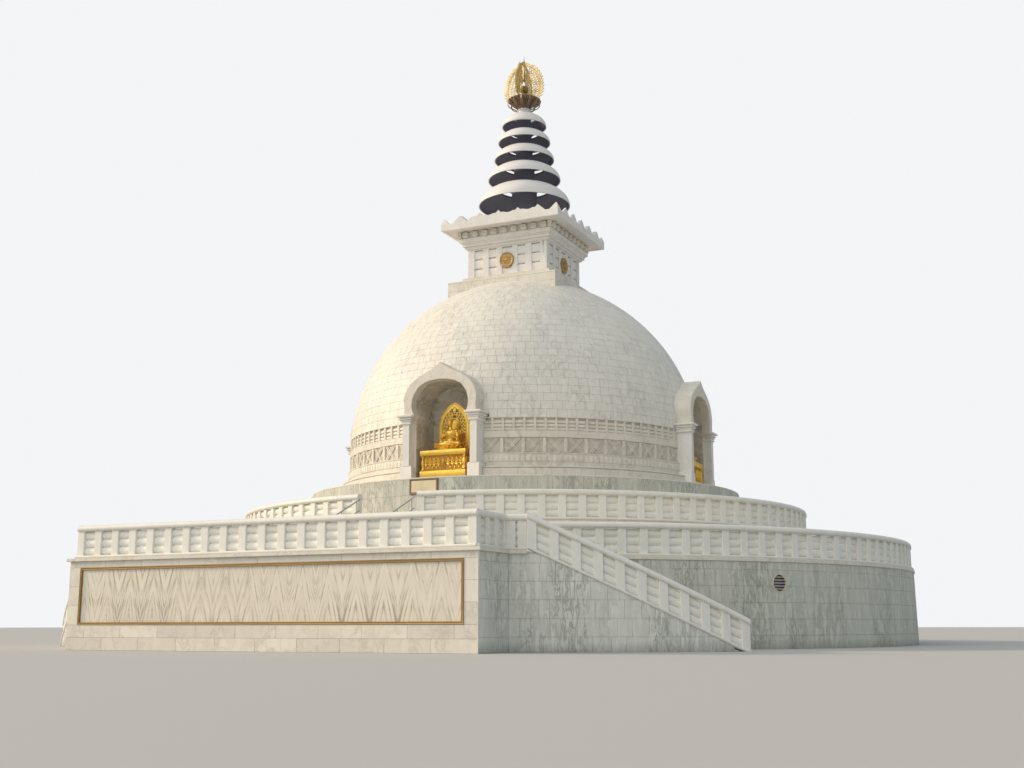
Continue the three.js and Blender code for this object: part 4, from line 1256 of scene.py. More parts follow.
def domeShell(holes):
    centre, radius = levels["domeCentre"], radii["dome"] - 0.014
    start = math.asin((levels["drumTop"] - centre) / radii["dome"])
    skin = [(0, levels["drumTop"])]
    skin += [(radius * math.cos(start + (math.pi / 2 - start) * i / 40),
              centre + radius * math.sin(start + (math.pi / 2 - start) * i / 40)) for i in range(40)]
    body = newPiece("domeCore", [turned(skin + [(0, centre + radius)], 160)], groundMarble)
    e, depth = domeStone["ease"], domeStone["depth"]
    columns = []
    for x in (-0.5, 0.0, 0.5):
        columns.append([(x, depth, -0.5), (x, e, -0.5), (x * (1 - 4 * e), 0, -0.5 + 3 * e),
                        (x * (1 - 4 * e), 0, 0.5 - 3 * e), (x, e, 0.5), (x, depth, 0.5)])
    block = template("domeStone", [loft(columns)])
    blocks = grow("domeStones", courseTree, domeMarble, block=block, rows=domeStone["rows"],
                  rowHeight=domeStone["row"], length=domeStone["length"], joint=domeStone["joint"],
                  along=1.0,
                  radius=radii["dome"], foot=centre, lift=start * radii["dome"], dome=True, seed=81,
                  uneven=0.22)
    carve(body, holes)
    carve(blocks, holes)
    soften(blocks.data, 40)
    keep(body, "cream_marble", "dome")
    keep(blocks, "cream_marble")


def capital(sign):
    # One pillar: base, shaft and a capital of two slabs with a hollow between them.
    shapes = []
    front, back = arch["front"], -7.5

    def stack(x0, x1, profileLine):
        rings = []
        for out, z in profileLine:
            a, b = sorted((sign * (x0 - out), sign * (x1 + out)))
            rings.append([(a, front - out, z), (b, front - out, z), (b, back, z), (a, back, z)])
        shapes.append(loft(rings))

    stack(1.245, 1.775, [(0.0, 6.38), (0.0, 6.99), (-0.02, 7.0), (-0.02, 7.035), (-0.08, 7.05)])
    stack(1.36, 1.66, [(0.0, 7.03), (0.0, 8.72)])
    stack(1.33, 1.71, [(0.0, 8.70), (0.04, 8.715), (0.052, 8.73), (0.052, 8.765), (0.015, 8.78),
                       (0.015, 8.815), (0.055, 8.83), (0.055, 8.88), (0.02, 8.885)])
    stack(1.33, 1.71, [(0.0, 8.88), (0.085, 8.898), (0.10, 8.905), (0.10, 8.95), (0.07, 8.957),
                       (0.07, 8.985),
                       (0.15, 8.998), (0.165, 9.005), (0.165, 9.07), (0.155, 9.08), (0.0, 9.08)])
    return shapes


def niche(side, angle):
    top, front, back = 9.05, arch["front"], arch["hollow"] - 0.001
    wall = newPiece("nicheWall",
                    [plate(archLine(arch["outer"], levels["third"]), arch["side"], arch["back"])],
                    creamMarble)
    cut([wall], [plate([(1.62, top)] + archLine(arch["outer"], top)[1:-1] + [(-1.62, top)], front,
                       arch["back"])],
        "UNION")
    inner = archLine([(1.14, 9.06)] + arch["inner"][1:], 9.06)[1:-1]
    opening = [(arch["half"], arch["floor"]), (arch["half"], 8.90)] + inner + [
        (-arch["half"], 8.90), (-arch["half"], arch["floor"])]
    cut([wall], [plate(opening, front - 0.9, arch["hollow"])])
    work = bmesh.new()
    work.from_mesh(wall.data)
    rims = [e for e in work.edges if e.is_manifold and e.calc_face_angle(0) > 0.9
            and all(v.co.y < front + 0.001 for v in e.verts)]
    bmesh.ops.bevel(work, geom=rims, offset=0.02, segments=2, affect="EDGES", clamp_overlap=True)
    work.to_mesh(wall.data)
    work.free()
    wall.data.materials.clear()
    wall.data.materials.append(creamMarble)
    soften(wall.data, 30)
    posts = newPiece("nichePillars", capital(1) + capital(-1), whiteMarble, bevel=0.004)
    thin, start, rings = 0.012, -8.0, []
    for x, z in opening:
        x1, z1 = x - math.copysign(thin, x) if abs(x) > 0.05 else x, z - thin if z > 9.0 else z
        rings.append([(x, start, z), (x, back, z), (x1, back, z1), (x1, start, z1)])
    name = "niche" + side.capitalize()
    lining = newPiece(name + "Lining",
                      [loft(rings), plate([(x * 0.995, z) for x, z in opening], back - 0.019, back)],
                      liningMarble)
    whole = fuse(name + "Arch", [wall, posts])
    for piece in (whole, lining):
        piece.data.transform(roundZ(angle))
    keep(whole, "cream_marble", "niche_" + side)
    keep(lining, "grey_marble")


holes = nicheHoles()
holes.hide_render = True
drumAndRing(holes)
domeShell(holes)
for side, angle in quarters:
    niche(side, angle)
print("dome and niches ready")


# The square chamber on the dome.

chamber = {"half": 1.98, "low": 16.45, "high": 17.84, "recess": 0.10,
           "panels": [(-1.65, -1.23), (-0.92, -0.53), (-0.25, 0.25), (0.53, 0.92), (1.23, 1.65)],
           "grooves": [16.46, 16.91, 17.36, 17.79],
           "slab": 2.92, "crest": 19.24, "boss": 0.492, "band": 2.33, "bossHeight": 18.485,
           "medallion": 0.36}


def fourSides(shapes):
    return [moved(shape, roundZ(turn)) for turn in (0, 90, 180, 270) for shape in shapes]


def squareStack(line):
    # A square tower over a line of (half width, height).
    return loft([[(-h, -h, z), (h, -h, z), (h, h, z), (-h, h, z)] for h, z in line])


def makeChamber():
    half, low, high, deep = chamber["half"], chamber["low"], chamber["high"], chamber["recess"]
    # the core shows in the slits between the bars; its darker lining marble is painted shade there
    core = newPiece("chamberCore", [squareStack([(half - deep, low), (half - deep, high)])], liningMarble)
    posts, last, end = [], -half, half - deep - 0.03  # the next side's first post closes the corner
    for x0, x1 in chamber["panels"] + [(end, end)]:
        posts.append(box(last, x0, -half, -half + deep + 0.03, low, high))
        last = x1
    for x0, x1 in chamber["panels"]:
        posts.append(box(x0, x1, -half + 0.002, -half + deep + 0.03, high - 0.045, high))
    bars = []
    for x0, x1 in chamber["panels"]:
        for z0, z1 in zip(chamber["grooves"], chamber["grooves"][1:]):
            section = [(-half + deep + 0.02, z0 + 0.008), (-half + 0.05, z0 + 0.010),
                       (-half + 0.034, z0 + 0.03),
                       (-half + 0.032, (z0 + z1) / 2), (-half + 0.034, z1 - 0.07),
                       (-half + 0.06, z1 - 0.038), (-half + deep + 0.02, z1 - 0.036)]
            bars.append(rod(x0 - 0.01, x1 + 0.01, section))
    body = newPiece("chamberBody", fourSides(posts + bars), whiteMarble, bevel=0.006)
    band = newPiece("chamberMoulding", [squareStack([
        (half - 0.05, high - 0.01), (half + 0.03, high), (half + 0.07, high + 0.02),
        (half + 0.12, high + 0.05), (half + 0.12, 17.955), (half, 17.96)])], whiteMarble, bevel=0.004)
    keep(core, "grey_marble")
    keep(body, "cream_marble", "chamber")
    keep(band, "cream_marble")
    plain = newPiece("plinthCore", [squareStack([(2.63, 15.38), (2.63, 16.18)]),
                                    squareStack([(2.145, 16.18), (2.145, 16.45)])], creamMarble)
    cap = newPiece("plinthCap", [squareStack([(2.64, 16.12), (2.66, 16.125), (2.66, 16.175), (2.645, 16.19),
                                              (2.0, 16.19)])], creamMarble)
    parts = [cap]
    for turn in (0, 90, 180, 270):
        for width, foot, row, count, out in ((5.32, 15.38, 0.37, 2, 2.66), (4.34, 16.19, 0.26, 1, 2.17)):
            place = Matrix.Rotation(math.radians(turn), 3, "Z") @ Vector((0, -out, foot))
            parts.append(flatCourses("plinthSlabs", creamMarble, width, place, turn, rows=count,
                                     rowHeight=row, length=0.85, seed=91 + turn // 90))
    keep(plain, "white_marble", "chamber_plinth")
    keep(fuse("plinthSlabs", parts), "white_marble")
    medallions()


def medallions():
    # A gilt disc with a rim and a plain wheel of beads and rays.
    r, half = chamber["medallion"], chamber["half"]
    rim = [(0.0, 0.05), (r - 0.10, 0.05), (r - 0.075, 0.065), (r - 0.06, 0.08), (r - 0.03, 0.085), (r, 0.06),
           (r, -0.04), (0.0, -0.04)]
    shapes = [turned(rim, 48)]
    rays = ((0.045, ((-7, 0.10), (0, 0.085), (7, 0.10), (4, 0.235), (-4, 0.235))),
            (0.068, ((-4, 0.115), (0, 0.105), (4, 0.115), (2, 0.22), (-2, 0.22))))
    for k in range(16):
        shapes.append(loft([[polar(360 * k / 16 + w, d, z) for w, d in ray] for z, ray in rays]))
    shapes.append(turned([(0, 0.045), (0.075, 0.045), (0.06, 0.07), (0.03, 0.082), (0, 0.085)], 24))
    place = Matrix.Translation((0, -half, 17.14)) @ upright
    disc = newPiece("medallions", fourSides([moved(shape, place) for shape in shapes]), agedGilt, angle=30)
    keep(disc, "old_gilt")


def cornice():
    # Mouldings, a plain band, a sunk row of rosettes and a broad slab far out over them.
    line = [(2.10, 17.96), (2.165, 17.965), (2.18, 17.98), (2.18, 18.06), (2.165, 18.075), (2.20, 18.085),
            (2.235, 18.14), (2.295, 18.155), (2.30, 18.165), (2.30, 18.33), (2.29, 18.34), (2.20, 18.345),
            (2.20, 18.655), (2.79, 18.655), (2.79, 18.88), (2.0, 18.88)]
    body = newPiece("corniceBody", [squareStack(line)], whiteMarble, bevel=0.005)
    blocks = []
    w, face, middle = 0.155, -chamber["band"] - 0.06, chamber["bossHeight"]
    for i in range(9):
        x = (i - 4) * chamber["boss"]
        rings = []
        for s, y in ((0.55, face), (0.82, face + 0.005), (1.0, face + 0.055), (1.0, -2.15)):
            ring = []
            for t in circle(16, 0.5):
                c, q = math.cos(t), math.sin(t)
                p = (abs(c) ** 4 + abs(q) ** 4) ** -0.25
                ring.append((x + w * s * c * p, y, middle + 0.137 * s * q * p))
            rings.append(ring)
        blocks.append(loft(rings))
        for t in circle(6):
            place = Matrix.Translation((x + 0.062 * math.cos(t), face,
                                        middle + 0.062 * math.sin(t))) @ upright
            blocks.append(moved(turned([(0, 0), (0.036, 0), (0.03, 0.018), (0, 0.03)], 8), place))
    corner = chamber["band"]
    blocks.append(box(-corner, -corner + 0.16, -corner, -corner + 0.16, 18.35, 18.65))
    # the rosettes are in the cream marble, darker than the white cornice: painted shade under the slab
    rosettes = newPiece("corniceRosettes", fourSides(blocks), creamMarble)
    keep(body, "white_marble", "chamber_cornice")
    keep(rosettes, "white_marble")
    crest()


def crestLine(side):
    # The crest from corner to corner: tall points with deep gaps, or low waves between small points.
    half, high = chamber["slab"], chamber["crest"]
    pitch = half / 3
    tall = [(0.38, 0.31), (0.20, 0.16), (0.06, 0.045)]
    low = [(0.44, 0.165), (0.26, 0.115), (0.13, 0.115), (0.06, 0.06)]
    line = []
    for i in range(-2, 3):
        left = tall if side or i == -2 else low
        right = tall if side or i in (-2, 2) else low
        line += [(pitch * (i - share), high - down) for share, down in left]
        line.append((pitch * i, high))
        line += [(pitch * (i + share), high - down) for share, down in reversed(right)]
    return [(-half, high - 0.31)] + line + [(half, high - 0.31)]


def crest():
    # One face with the slab; the front and back have the low waves, and every corner a horn that leans in.
    half, high, depth, foot = chamber["slab"], chamber["crest"], 0.16, 18.625
    horn = [(0.0, 0.40, 0.312), (0.02, 0.29, 0.20), (0.055, 0.20, 0.10), (0.085, 0.14, 0.03),
            (0.10, 0.11, 0.0)]
    shapes = []
    for turn in (0, 90, 180, 270):
        line = [(-half, foot)] + crestLine(turn in (90, 270)) + [(half, foot)]
        inner = [(x * (half - depth) / half, z) for x, z in line]
        shapes.append(moved(loft([[(x, -half, z) for x, z in line],
                                  [(x, -half + depth, z) for x, z in inner]]),
                            roundZ(turn)))
        rings = [[(x - half, y - half, high - down) for x, y in ((a, a), (b, a), (b, b), (a, b))]
                 for a, b, down in horn]
        shapes.append(moved(loft(rings), roundZ(turn)))
    keep(newPiece("corniceCrest", shapes, whiteMarble), "white_marble")


makeChamber()
cornice()
print("chamber ready")


# The mast, its five umbrellas and the finial.

# Of each umbrella the rim, its height, the crown over it and the mast under it.
umbrellas = [(2.17, 20.30, 1.12, 0.60), (1.728, 21.58, 0.87, 0.49), (1.431, 22.59, 0.75, 0.40),
             (1.253, 23.47, 0.68, 0.35), (1.068, 24.30, 0.676, 0.32)]
spire = {"open": 0.58, "shell": 0.07, "hub": 0.12, "neck": 0.29, "cupLow": 25.21, "cupHigh": 25.68,
         "flameHigh": 27.68, "flameHalf": 1.06, "top": 28.0, "spokes": 4,
         "ball": 26.24}


def hubLow(umbrella):
    z, crown = umbrella[1:3]
    return z + crown * math.sqrt(1 - spire["open"] ** 2) - spire["hub"]


def makeMast():
    line = [(0, 18.88), (0.66, 18.88), (0.66, 18.93), (0.63, 18.97), (0.60, 19.18)]
    for i, umbrella in enumerate(umbrellas):
        above = umbrellas[i + 1][3] if i < 4 else spire["neck"]
        low = hubLow(umbrella)
        line += [(umbrella[3], low - 0.08), (umbrella[3] + 0.012, low - 0.06),
                 (umbrella[3] + 0.012, low - 0.02), (umbrella[3], low - 0.002), (above, low)]
    split = hubLow(umbrellas[4]) + spire["hub"]
    # the mast among the umbrellas is dark: painted shade; the neck above them is white
    post = newPiece("mastPost", [turned(line + [(spire["neck"], split), (0, split)], 64)], darkPaint)
    neck = newPiece("mastNeck", [turned([
        (0, split + 0.001), (spire["neck"], split + 0.001), (spire["neck"], 25.09), (0.315, 25.10),
        (0.33, 25.12),
        (0.33, 25.15), (0.31, 25.17), (0.30, spire["cupLow"]), (0, spire["cupLow"])], 64)], whitePaint)
    keep(post, "dark_paint", "mast")
    keep(neck, "white_paint")


def makeUmbrella(index):
    rim, z, crown, mast = umbrellas[index]
    above = umbrellas[index + 1][3] if index < 4 else spire["neck"]
    last, thick = math.acos(spire["open"]), spire["shell"]

    def curve(inset):
        return [((rim - inset) * math.cos(last * k / 9), z + (crown - inset) * math.sin(last * k / 9))
                for k in range(10)]

    outside, middle, inside = curve(0.0), curve(0.034), curve(thick)
    shell = newPiece("umbrella%dShell" % (index + 1), [turned(
        [(rim - 0.006, z - 0.006)] + outside + middle[::-1] + [(rim - 0.030, z - 0.006)], 120)], whitePaint,
                     angle=50)
    # the dark sheet inside the shell is painted shade on the underside
    lining = newPiece("umbrella%dLining" % (index + 1), [turned(curve(0.035) + inside[::-1], 120)],
                      darkPaint, angle=50)
    low, out = hubLow(umbrellas[index]), mast + 0.03
    hub = [turned([(above + 0.001, low), (out, low), (out + 0.01, low + 0.02), (out + 0.01, low + 0.09),
                   (out, low + spire["hub"]), (above + 0.001, low + spire["hub"])], 64)]
    reach = rim * spire["open"] + 0.02
    for k in range(spire["spokes"]):
        bar = box(out - 0.03, reach, -0.035, 0.035, low + 0.02, low + spire["hub"] - 0.02)
        knee = loft([[(out - 0.02, y, low - 0.10), (out - 0.02, y, low + 0.02), (out + 0.16, y, low + 0.02)]
                     for y in (-0.012, 0.012)])
        hub += [moved(bar, roundZ(90 * k + 15)), moved(knee, roundZ(90 * k + 15))]
    ring = [(reach - 0.05, low + 0.02), (reach + 0.005, low + 0.02), (reach + 0.005, low + 0.075),
            (reach - 0.05, low + 0.075)]
    # the hub, spokes and ring under the shell are dark: painted shade
    frameWork = newPiece("umbrella%dFrame" % (index + 1), hub + [turned(ring, 64)], darkPaint)
    keep(shell, "white_paint", "umbrella_%d" % (index + 1))
    keep(lining, "dark_paint")
    keep(frameWork, "dark_paint")


def drop(x, z, length, width, turn, sides=14):
    # The outline of a leaf or flame that points along turn, measured from straight up.
    line, a = [], math.radians(turn)
    for t in circle(sides):
        u, v = -0.5 * math.cos(t), 0.5 * math.sin(t) * (0.55 + 0.45 * math.cos(t))
        px, pz = v * width * 1.3, u * length
        line.append((x + px * math.cos(a) + pz * math.sin(a), z - px * math.sin(a) + pz * math.cos(a)))
    return line


def flameEdge(t, inset=0.0):
    # A point on the drop-shaped edge of a wing, or inset from it.
    low, tall = spire["cupHigh"] - 0.02, spire["flameHigh"] - spire["cupHigh"] + 0.02

    def at(u):
        u = min(max(u, 0.0), 1.0)
        share = 1 - 0.16 * (1 - u / 0.3) ** 2 if u < 0.3 else (1 - ((u - 0.3) / 0.7) ** 2) ** 0.55
        return Vector((spire["flameHalf"] * share, low + tall * u))

    way = (at(t + 0.004) - at(t - 0.004)).normalized()
    return at(t) - Vector((way.y, -way.x)) * inset


def loop(outline, wall, y0, y1):
    # A flat ring round a hole; its wall stands outside the outline.
    n = len(outline)
    cx, cz = sum(x for x, z in outline) / n, sum(z for x, z in outline) / n
    wide = max(math.hypot(x - cx, z - cz) for x, z in outline)
    outer = []
    for x, z in outline:
        wider = 1 + wall / wide + wall * 0.4 / max(math.hypot(x - cx, z - cz), 1e-6)
        outer.append((cx + (x - cx) * wider, cz + (z - cz) * wider))
    corners = ((outer, y0), (outer, y1), (outline, y1), (outline, y0))
    points = [(x, y, z) for line, y in corners for x, z in line]
    faces = [(i * n + k, (i + 1) % 4 * n + k, (i + 1) % 4 * n + (k + 1) % n, i * n + (k + 1) % n)
             for i in range(4) for k in range(n)]
    return points, faces


def strip(outer, inner, y0, y1):
    # A flat band between two lines of the same number of points.
    return loft([[(a[0], y0, a[1]), (a[0], y1, a[1]), (b[0], y1, b[1]), (b[0], y0, b[1])]
                 for a, b in zip(outer, inner)])


def makeWings():
    # Two crossed plates of openwork: flame teeth on a band, loops inside it, and a gap for the ball.
    teeth, side, shapes, foot, ball = 11, [], [], spire["cupHigh"] - 0.02, spire["ball"]
    for i in range(teeth):
        deep = 0.16 - 0.006 * i
        for share, inset in ((0.0, deep), (0.30, deep * 0.70), (0.62, deep * 0.36), (0.90, deep * 0.06),
                             (1.12, 0.0), (1.10, deep * 0.35)):
            side.append((0.88 * (i + share) / teeth, inset, 0.88 * (i + min(share, 1)) / teeth))
    side += [(t, inset, t) for t, inset in ((0.93, 0.08), (0.97, 0.05), (0.99, 0.02), (1.0, 0.0))]
    for sign in (-1, 1):
        outer = [(sign * max(p.x, 0.03), max(p.y, foot))
                 for p in (flameEdge(t, inset) for t, inset, within in side)]
        inner = [(sign * max(p.x, 0.0), max(p.y, foot))
                 for p in (flameEdge(within, 0.215) for t, inset, within in side)]
        shapes.append(strip(outer, inner, -0.026, 0.026))
        for y in (-0.026, 0.026):
            path = [flameEdge(0.02 + 0.92 * k / 22, 0.18) for k in range(23)]
            shapes.append(tube([(sign * p.x, y, p.y) for p in path if p.x > 0.06], 0.014, 6))
        for row, (inset, count, step) in enumerate(((0.30, 12, 0.078), (0.47, 11, 0.081), (0.64, 9, 0.087),
                                                    (0.81, 8, 0.093), (0.98, 6, 0.10))):
            for i in range(count):
                t = 0.045 + 0.02 * (row % 2) + step * i
                p, way = flameEdge(t, inset), flameEdge(t + 0.01, inset) - flameEdge(t - 0.01, inset)
                if p.x < 0.09 or p.y < foot + 0.09 or (p - Vector((0, ball + 0.04))).length < 0.46:
                    continue
                turn = sign * (math.degrees(math.atan2(way.x, way.y)) + 50)
                half = 0.020 + 0.0012 * ((i + 2 * row) % 4)
                shapes.append(loop(drop(sign * p.x, p.y, 0.165, 0.105, turn, 12), 0.032, -half, half))
    gap = [(0.33 * math.sin(a) * (1 - 0.25 * max(math.cos(a), 0)), ball + (0.33 + 0.16 * max(math.cos(a), 0))
            * math.cos(a)) for a in circle(28)]
    shapes.append(loop(gap, 0.055, -0.029, 0.029))
    shapes.append(plate([(0.05, ball + 0.50), (0.10, 27.0), (0.03, 27.62), (-0.03, 27.62), (-0.10, 27.0),
                         (-0.05, ball + 0.50)], -0.0275, 0.0275))
    shapes.append(plate([(-0.80, foot), (0.80, foot), (0.80, foot + 0.09), (0.3, foot + 0.17),
                         (0, foot + 0.24), (-0.3, foot + 0.17), (-0.80, foot + 0.09)], -0.0275, 0.0275))
    wing = newPiece("flameWings", shapes + [moved(shape, roundZ(90)) for shape in shapes], paleGilt,
                    angle=30)
    return wing


def makeFinial():
    low, high = spire["cupLow"], spire["cupHigh"]
    flutes, rings = 20, []
    line = curveThrough([(0.312, low, 0), (0.345, low + 0.07, 0), (0.40, low + 0.15, 0),
                         (0.52, low + 0.25, 0),
                         (0.69, low + 0.345, 0), (0.78, low + 0.42, 0), (0.81, high - 0.005, 0)], 3)
    sides = flutes * 6
    for r, z, _ in line + [(0.74, high, 0), (0.5, high, 0)]:
        share = min(max((z - low) / (high - low), 0), 1)
        rings.append([polar(360 * k / sides, r * (1 - 0.09 * share * (1 - abs(math.sin(math.pi * k / 6)))),
                            z)
                      for k in range(sides)])
    cup = newPiece("lotusCupFlutes", [loft(rings)], darkBronze, angle=40)
    petals = []
    path = curveThrough([(0.325, low - 0.04, 0), (0.44, low + 0.01, 0), (0.60, low + 0.09, 0),
                         (0.735, low + 0.19, 0), (0.80, low + 0.30, 0), (0.815, low + 0.43, 0)], 3)
    for k in range(12):
        section = []
        for i, (r, z, _) in enumerate(path):
            wide = 0.018 + 0.055 * math.sin(math.pi * i / (len(path) - 1)) ** 0.8
            section.append([(-wide, -r + 0.02, z + 0.012), (0, -r - 0.012, z - 0.008),
                            (wide, -r + 0.02, z + 0.012), (0, -r + 0.014, z + 0.022)])
        petals.append(moved(loft(section), roundZ(30 * k + 15)))
    leaves = newPiece("lotusOuterLeaves", petals, darkBronze)
    ball, z0 = 0.21, spire["ball"]
    globe = newPiece("finialGlobe", [turned([(0, z0 - ball)] + [
        (ball * math.sin(math.pi * k / 24), z0 - ball * math.cos(math.pi * k / 24)) for k in range(1, 24)] +
        [(0, z0 + ball)], 48)], brass, angle=60)
    stem = [turned([(0, high), (0.30, high), (0.33, high + 0.03), (0.31, high + 0.06), (0.20, high + 0.12),
                    (0.11, high + 0.22), (0.13, high + 0.36), (0, high + 0.37)], 32),
            turned([(0, 26.66), (0.05, 26.68), (0.09, 26.74), (0.07, 26.84), (0.045, 27.2), (0.05, 27.30),
                    (0.035, 27.34), (0.03, 27.62), (0.055, 27.66), (0.05, 27.70), (0.022, 27.74),
                    (0.006, spire["top"]), (0, spire["top"])], 24)]
    stems = newPiece("finialStem", stem, agedGilt)
    wings = makeWings()
    keep(cup, "old_gilt", "lotus_cup")
    keep(leaves, "old_gilt")
    keep(wings, "old_gilt", "flame_jewel")
    keep(globe, "old_gilt")
    keep(stems, "old_gilt")


makeMast()
for index in range(5):
    makeUmbrella(index)
makeFinial()
print("spire ready")


# The pedestals and the seated figures in the niches.

pedestal = {"slab": 1.02, "front": -8.06, "back": -6.62, "low": 6.52, "bandLow": 6.86, "bandTop": 7.42,
            "high": 7.65, "band": 0.94, "bandFront": -7.94, "bandBack": -6.74}
figure = {"y": -7.45, "seat": 7.65, "voxel": 0.013, "headVoxel": 0.006, "haloFront": -7.05,
          "haloBack": -6.965, "haloHalf": 0.70, "haloTop": 9.70}


def inNiches(kind, body, bodyEnd, trim, trimEnd):
    # A copy of both pieces in each niche; the body takes the place of the CAD node.
    for side, angle in quarters:
        for piece, end, nodes in ((body, bodyEnd, [kind + "_" + side]), (trim, trimEnd, [])):
            keep(twin(piece, angle, kind + side.capitalize() + end), "gilt", *nodes)
    for piece in (body, trim):
        bpy.data.objects.remove(piece)


def baluster(x, y):
    low, tall = pedestal["bandLow"], (pedestal["bandTop"] - pedestal["bandLow"]) / 0.65
    line = [(0, 0), (0.068, 0), (0.068, 0.04), (0.045, 0.06), (0.040, 0.10), (0.058, 0.19), (0.066, 0.28),
            (0.060, 0.37), (0.040, 0.48), (0.036, 0.54), (0.046, 0.57), (0.040, 0.59), (0.066, 0.61),
            (0.068, 0.65), (0, 0.65)]
    return moved(turned([(r, low + z * tall) for r, z in line], 20), Matrix.Translation((x, y, 0)))


def leafBoss(x, y, z, tall, wide, deep, turn=0.0):
    # A small leaf in relief with a raised middle line.
    edge = drop(0, 0, tall, wide, turn, 12)
    return loft([[(x + px * s, y - d, z + pz * s) for px, pz in edge]
                 for s, d in ((1.0, -0.01), (0.95, deep * 0.6), (0.35, deep))])


def bandFace(half, y):
    # One face of the band: groups of leaves and buds on a sunk ground, beside a dark middle motif.
    shapes, dark = [], []
    for side in (-1, 1):
        x0, x1 = sorted((side * 0.13, side * (half - 0.06)))
        count = 4 if half > 0.7 else 3
        pitch = (x1 - x0) / count
        for i in range(count):
            x = x0 + pitch * (i + 0.5)
            shapes.append(leafBoss(x, y, 7.295, 0.19, 0.115, 0.05))
            shapes.append(leafBoss(x - 0.055, y, 7.20, 0.13, 0.07, 0.04, -40))
            shapes.append(leafBoss(x + 0.055, y, 7.20, 0.13, 0.07, 0.04, 40))
            shapes.append(leafBoss(x, y, 7.03, 0.17, 0.12, 0.05, 180))
            shapes.append(leafBoss(x - 0.06, y, 7.09, 0.13, 0.065, 0.04, -125))
            shapes.append(leafBoss(x + 0.06, y, 7.09, 0.13, 0.065, 0.04, 125))
            shapes.append(ball((x, y - 0.03, 7.145), (0.038, 0.03, 0.038), sides=10))
            shapes.append(ball((x + pitch / 2 * side, y - 0.02, 6.94), (0.04, 0.03, 0.05), sides=10))
    dark.append(leafBoss(0, y, 7.20, 0.36, 0.15, 0.05))
    for sign in (-1, 1):
        dark.append(leafBoss(sign * 0.065, y, 7.03, 0.20, 0.08, 0.04, sign * 32))
    dark.append(box(-0.085, 0.085, y - 0.03, y + 0.01, 6.88, 6.92))
    return shapes, dark


def makePedestals():
    p = pedestal
    middleY = (p["front"] + p["back"]) / 2

    def slab(line):
        return loft([[(-p["slab"] - d, p["front"] - d, z), (p["slab"] + d, p["front"] - d, z),
                      (p["slab"] + d, p["back"] + d, z), (-p["slab"] - d, p["back"] + d, z)] for d,
                     z in line])

    shapes = [slab([(-0.01, p["low"]), (0, 6.53), (0, 6.81), (-0.015, 6.825), (-0.03, 6.84),
                    (-0.05, p["bandLow"])]),
              slab([(-0.05, p["bandTop"]), (-0.03, 7.43), (-0.01, 7.445), (0, 7.455), (0, p["high"] - 0.015),
                    (-0.015, p["high"])])]
    for x0, x1 in ((-0.985, -0.925), (0.925, 0.985)):  # the frames that stand out beside each sunk ground
        shapes.append(box(x0, x1, p["front"] + 0.03, p["back"] - 0.03, 6.855, 6.885))
        shapes.append(box(x0, x1, p["front"] + 0.03, p["back"] - 0.03, 7.395, 7.425))
    ground = box(-p["band"], p["band"], p["bandFront"], p["bandBack"], 6.85, 7.43)
    for x in (-0.93, 0.93):
        for y in (p["front"] + 0.09, p["back"] - 0.09):
            shapes.append(baluster(x, y))
    relief, dark = bandFace(p["band"], p["bandFront"])
    for turn in (90, 180, -90):
        half = 0.62 if abs(turn) == 90 else p["band"]
        away = p["band"] if abs(turn) == 90 else p["bandBack"] - middleY
        more, deep = bandFace(half, -away)
        move = Matrix.Translation((0, middleY, 0)) @ roundZ(turn)
        relief += [moved(shape, move) for shape in more]
        dark += [moved(shape, move) for shape in deep]
    whole = newPiece("pedestal", shapes + relief, gilt, bevel=0.004)
    # the sunk ground is in the darker gilt: painted shade behind the relief
    motifs = newPiece("pedestalMotifs", dark + [ground], darkGilt)
    inNiches("pedestal", whole, "Body", motifs, "Motifs")


def ball(place, size, turn=None, sides=16):
    rings = [[(math.sin(a) * math.cos(t), math.sin(a) * math.sin(t), math.cos(a)) for t in circle(sides)]
             for a in (math.pi * i / 9 for i in range(1, 9))]
    return moved(loft(rings), Matrix.Translation(place) @ (turn or Matrix()) @ Matrix.Diagonal((*size, 1)))


def limb(points, radii):
    # A soft limb through points, with round ends.
    return [tube(points, radii, 14)] + [ball(p, (r, r, r)) for p, r in zip(points, radii)]


def remeshed(name, shapes, voxel, rounds, material):
    piece = newPiece(name, shapes, material)
    modifier = piece.modifiers.new("Merge", "REMESH")
    modifier.mode, modifier.voxel_size, modifier.use_smooth_shade = "VOXEL", voxel, True
    smooth = piece.modifiers.new("Ease", "SMOOTH")
    smooth.factor, smooth.iterations = 0.5, rounds
    settle(piece)
    piece.data.materials.clear()
    piece.data.materials.append(material)
    piece.data.shade_smooth()
    return piece


def lotusSeat():
    seat = [(0, 7.65), (0.55, 7.65), (0.58, 7.665), (0.58, 7.69), (0.50, 7.71), (0.47, 7.74), (0.50, 7.78),
            (0.52, 7.81), (0.51, 7.825), (0, 7.83)]
    shapes = [turned(seat, 64)]
    for k in range(18):
        rings = []
        for i in range(7):
            u = i / 6
            wide = 0.088 * math.sin(math.pi * (0.22 + 0.76 * u)) ** 0.6
            r, z = 0.475 + 0.14 * math.sin(math.pi * 0.5 * u) ** 1.4, 7.70 + 0.14 * u
            rings.append([(-wide, -r + 0.03, z), (-wide * 0.6, -r - 0.008, z), (0, -r - 0.018, z),
                          (wide * 0.6, -r - 0.008, z), (wide, -r + 0.03, z), (0, -r + 0.04, z)])
        shapes.append(moved(loft(rings), roundZ(20 * k)))
    return newPiece("seat", [moved(shape, Matrix.Translation((0, figure["y"], 0))) for shape in shapes],
                    gilt)


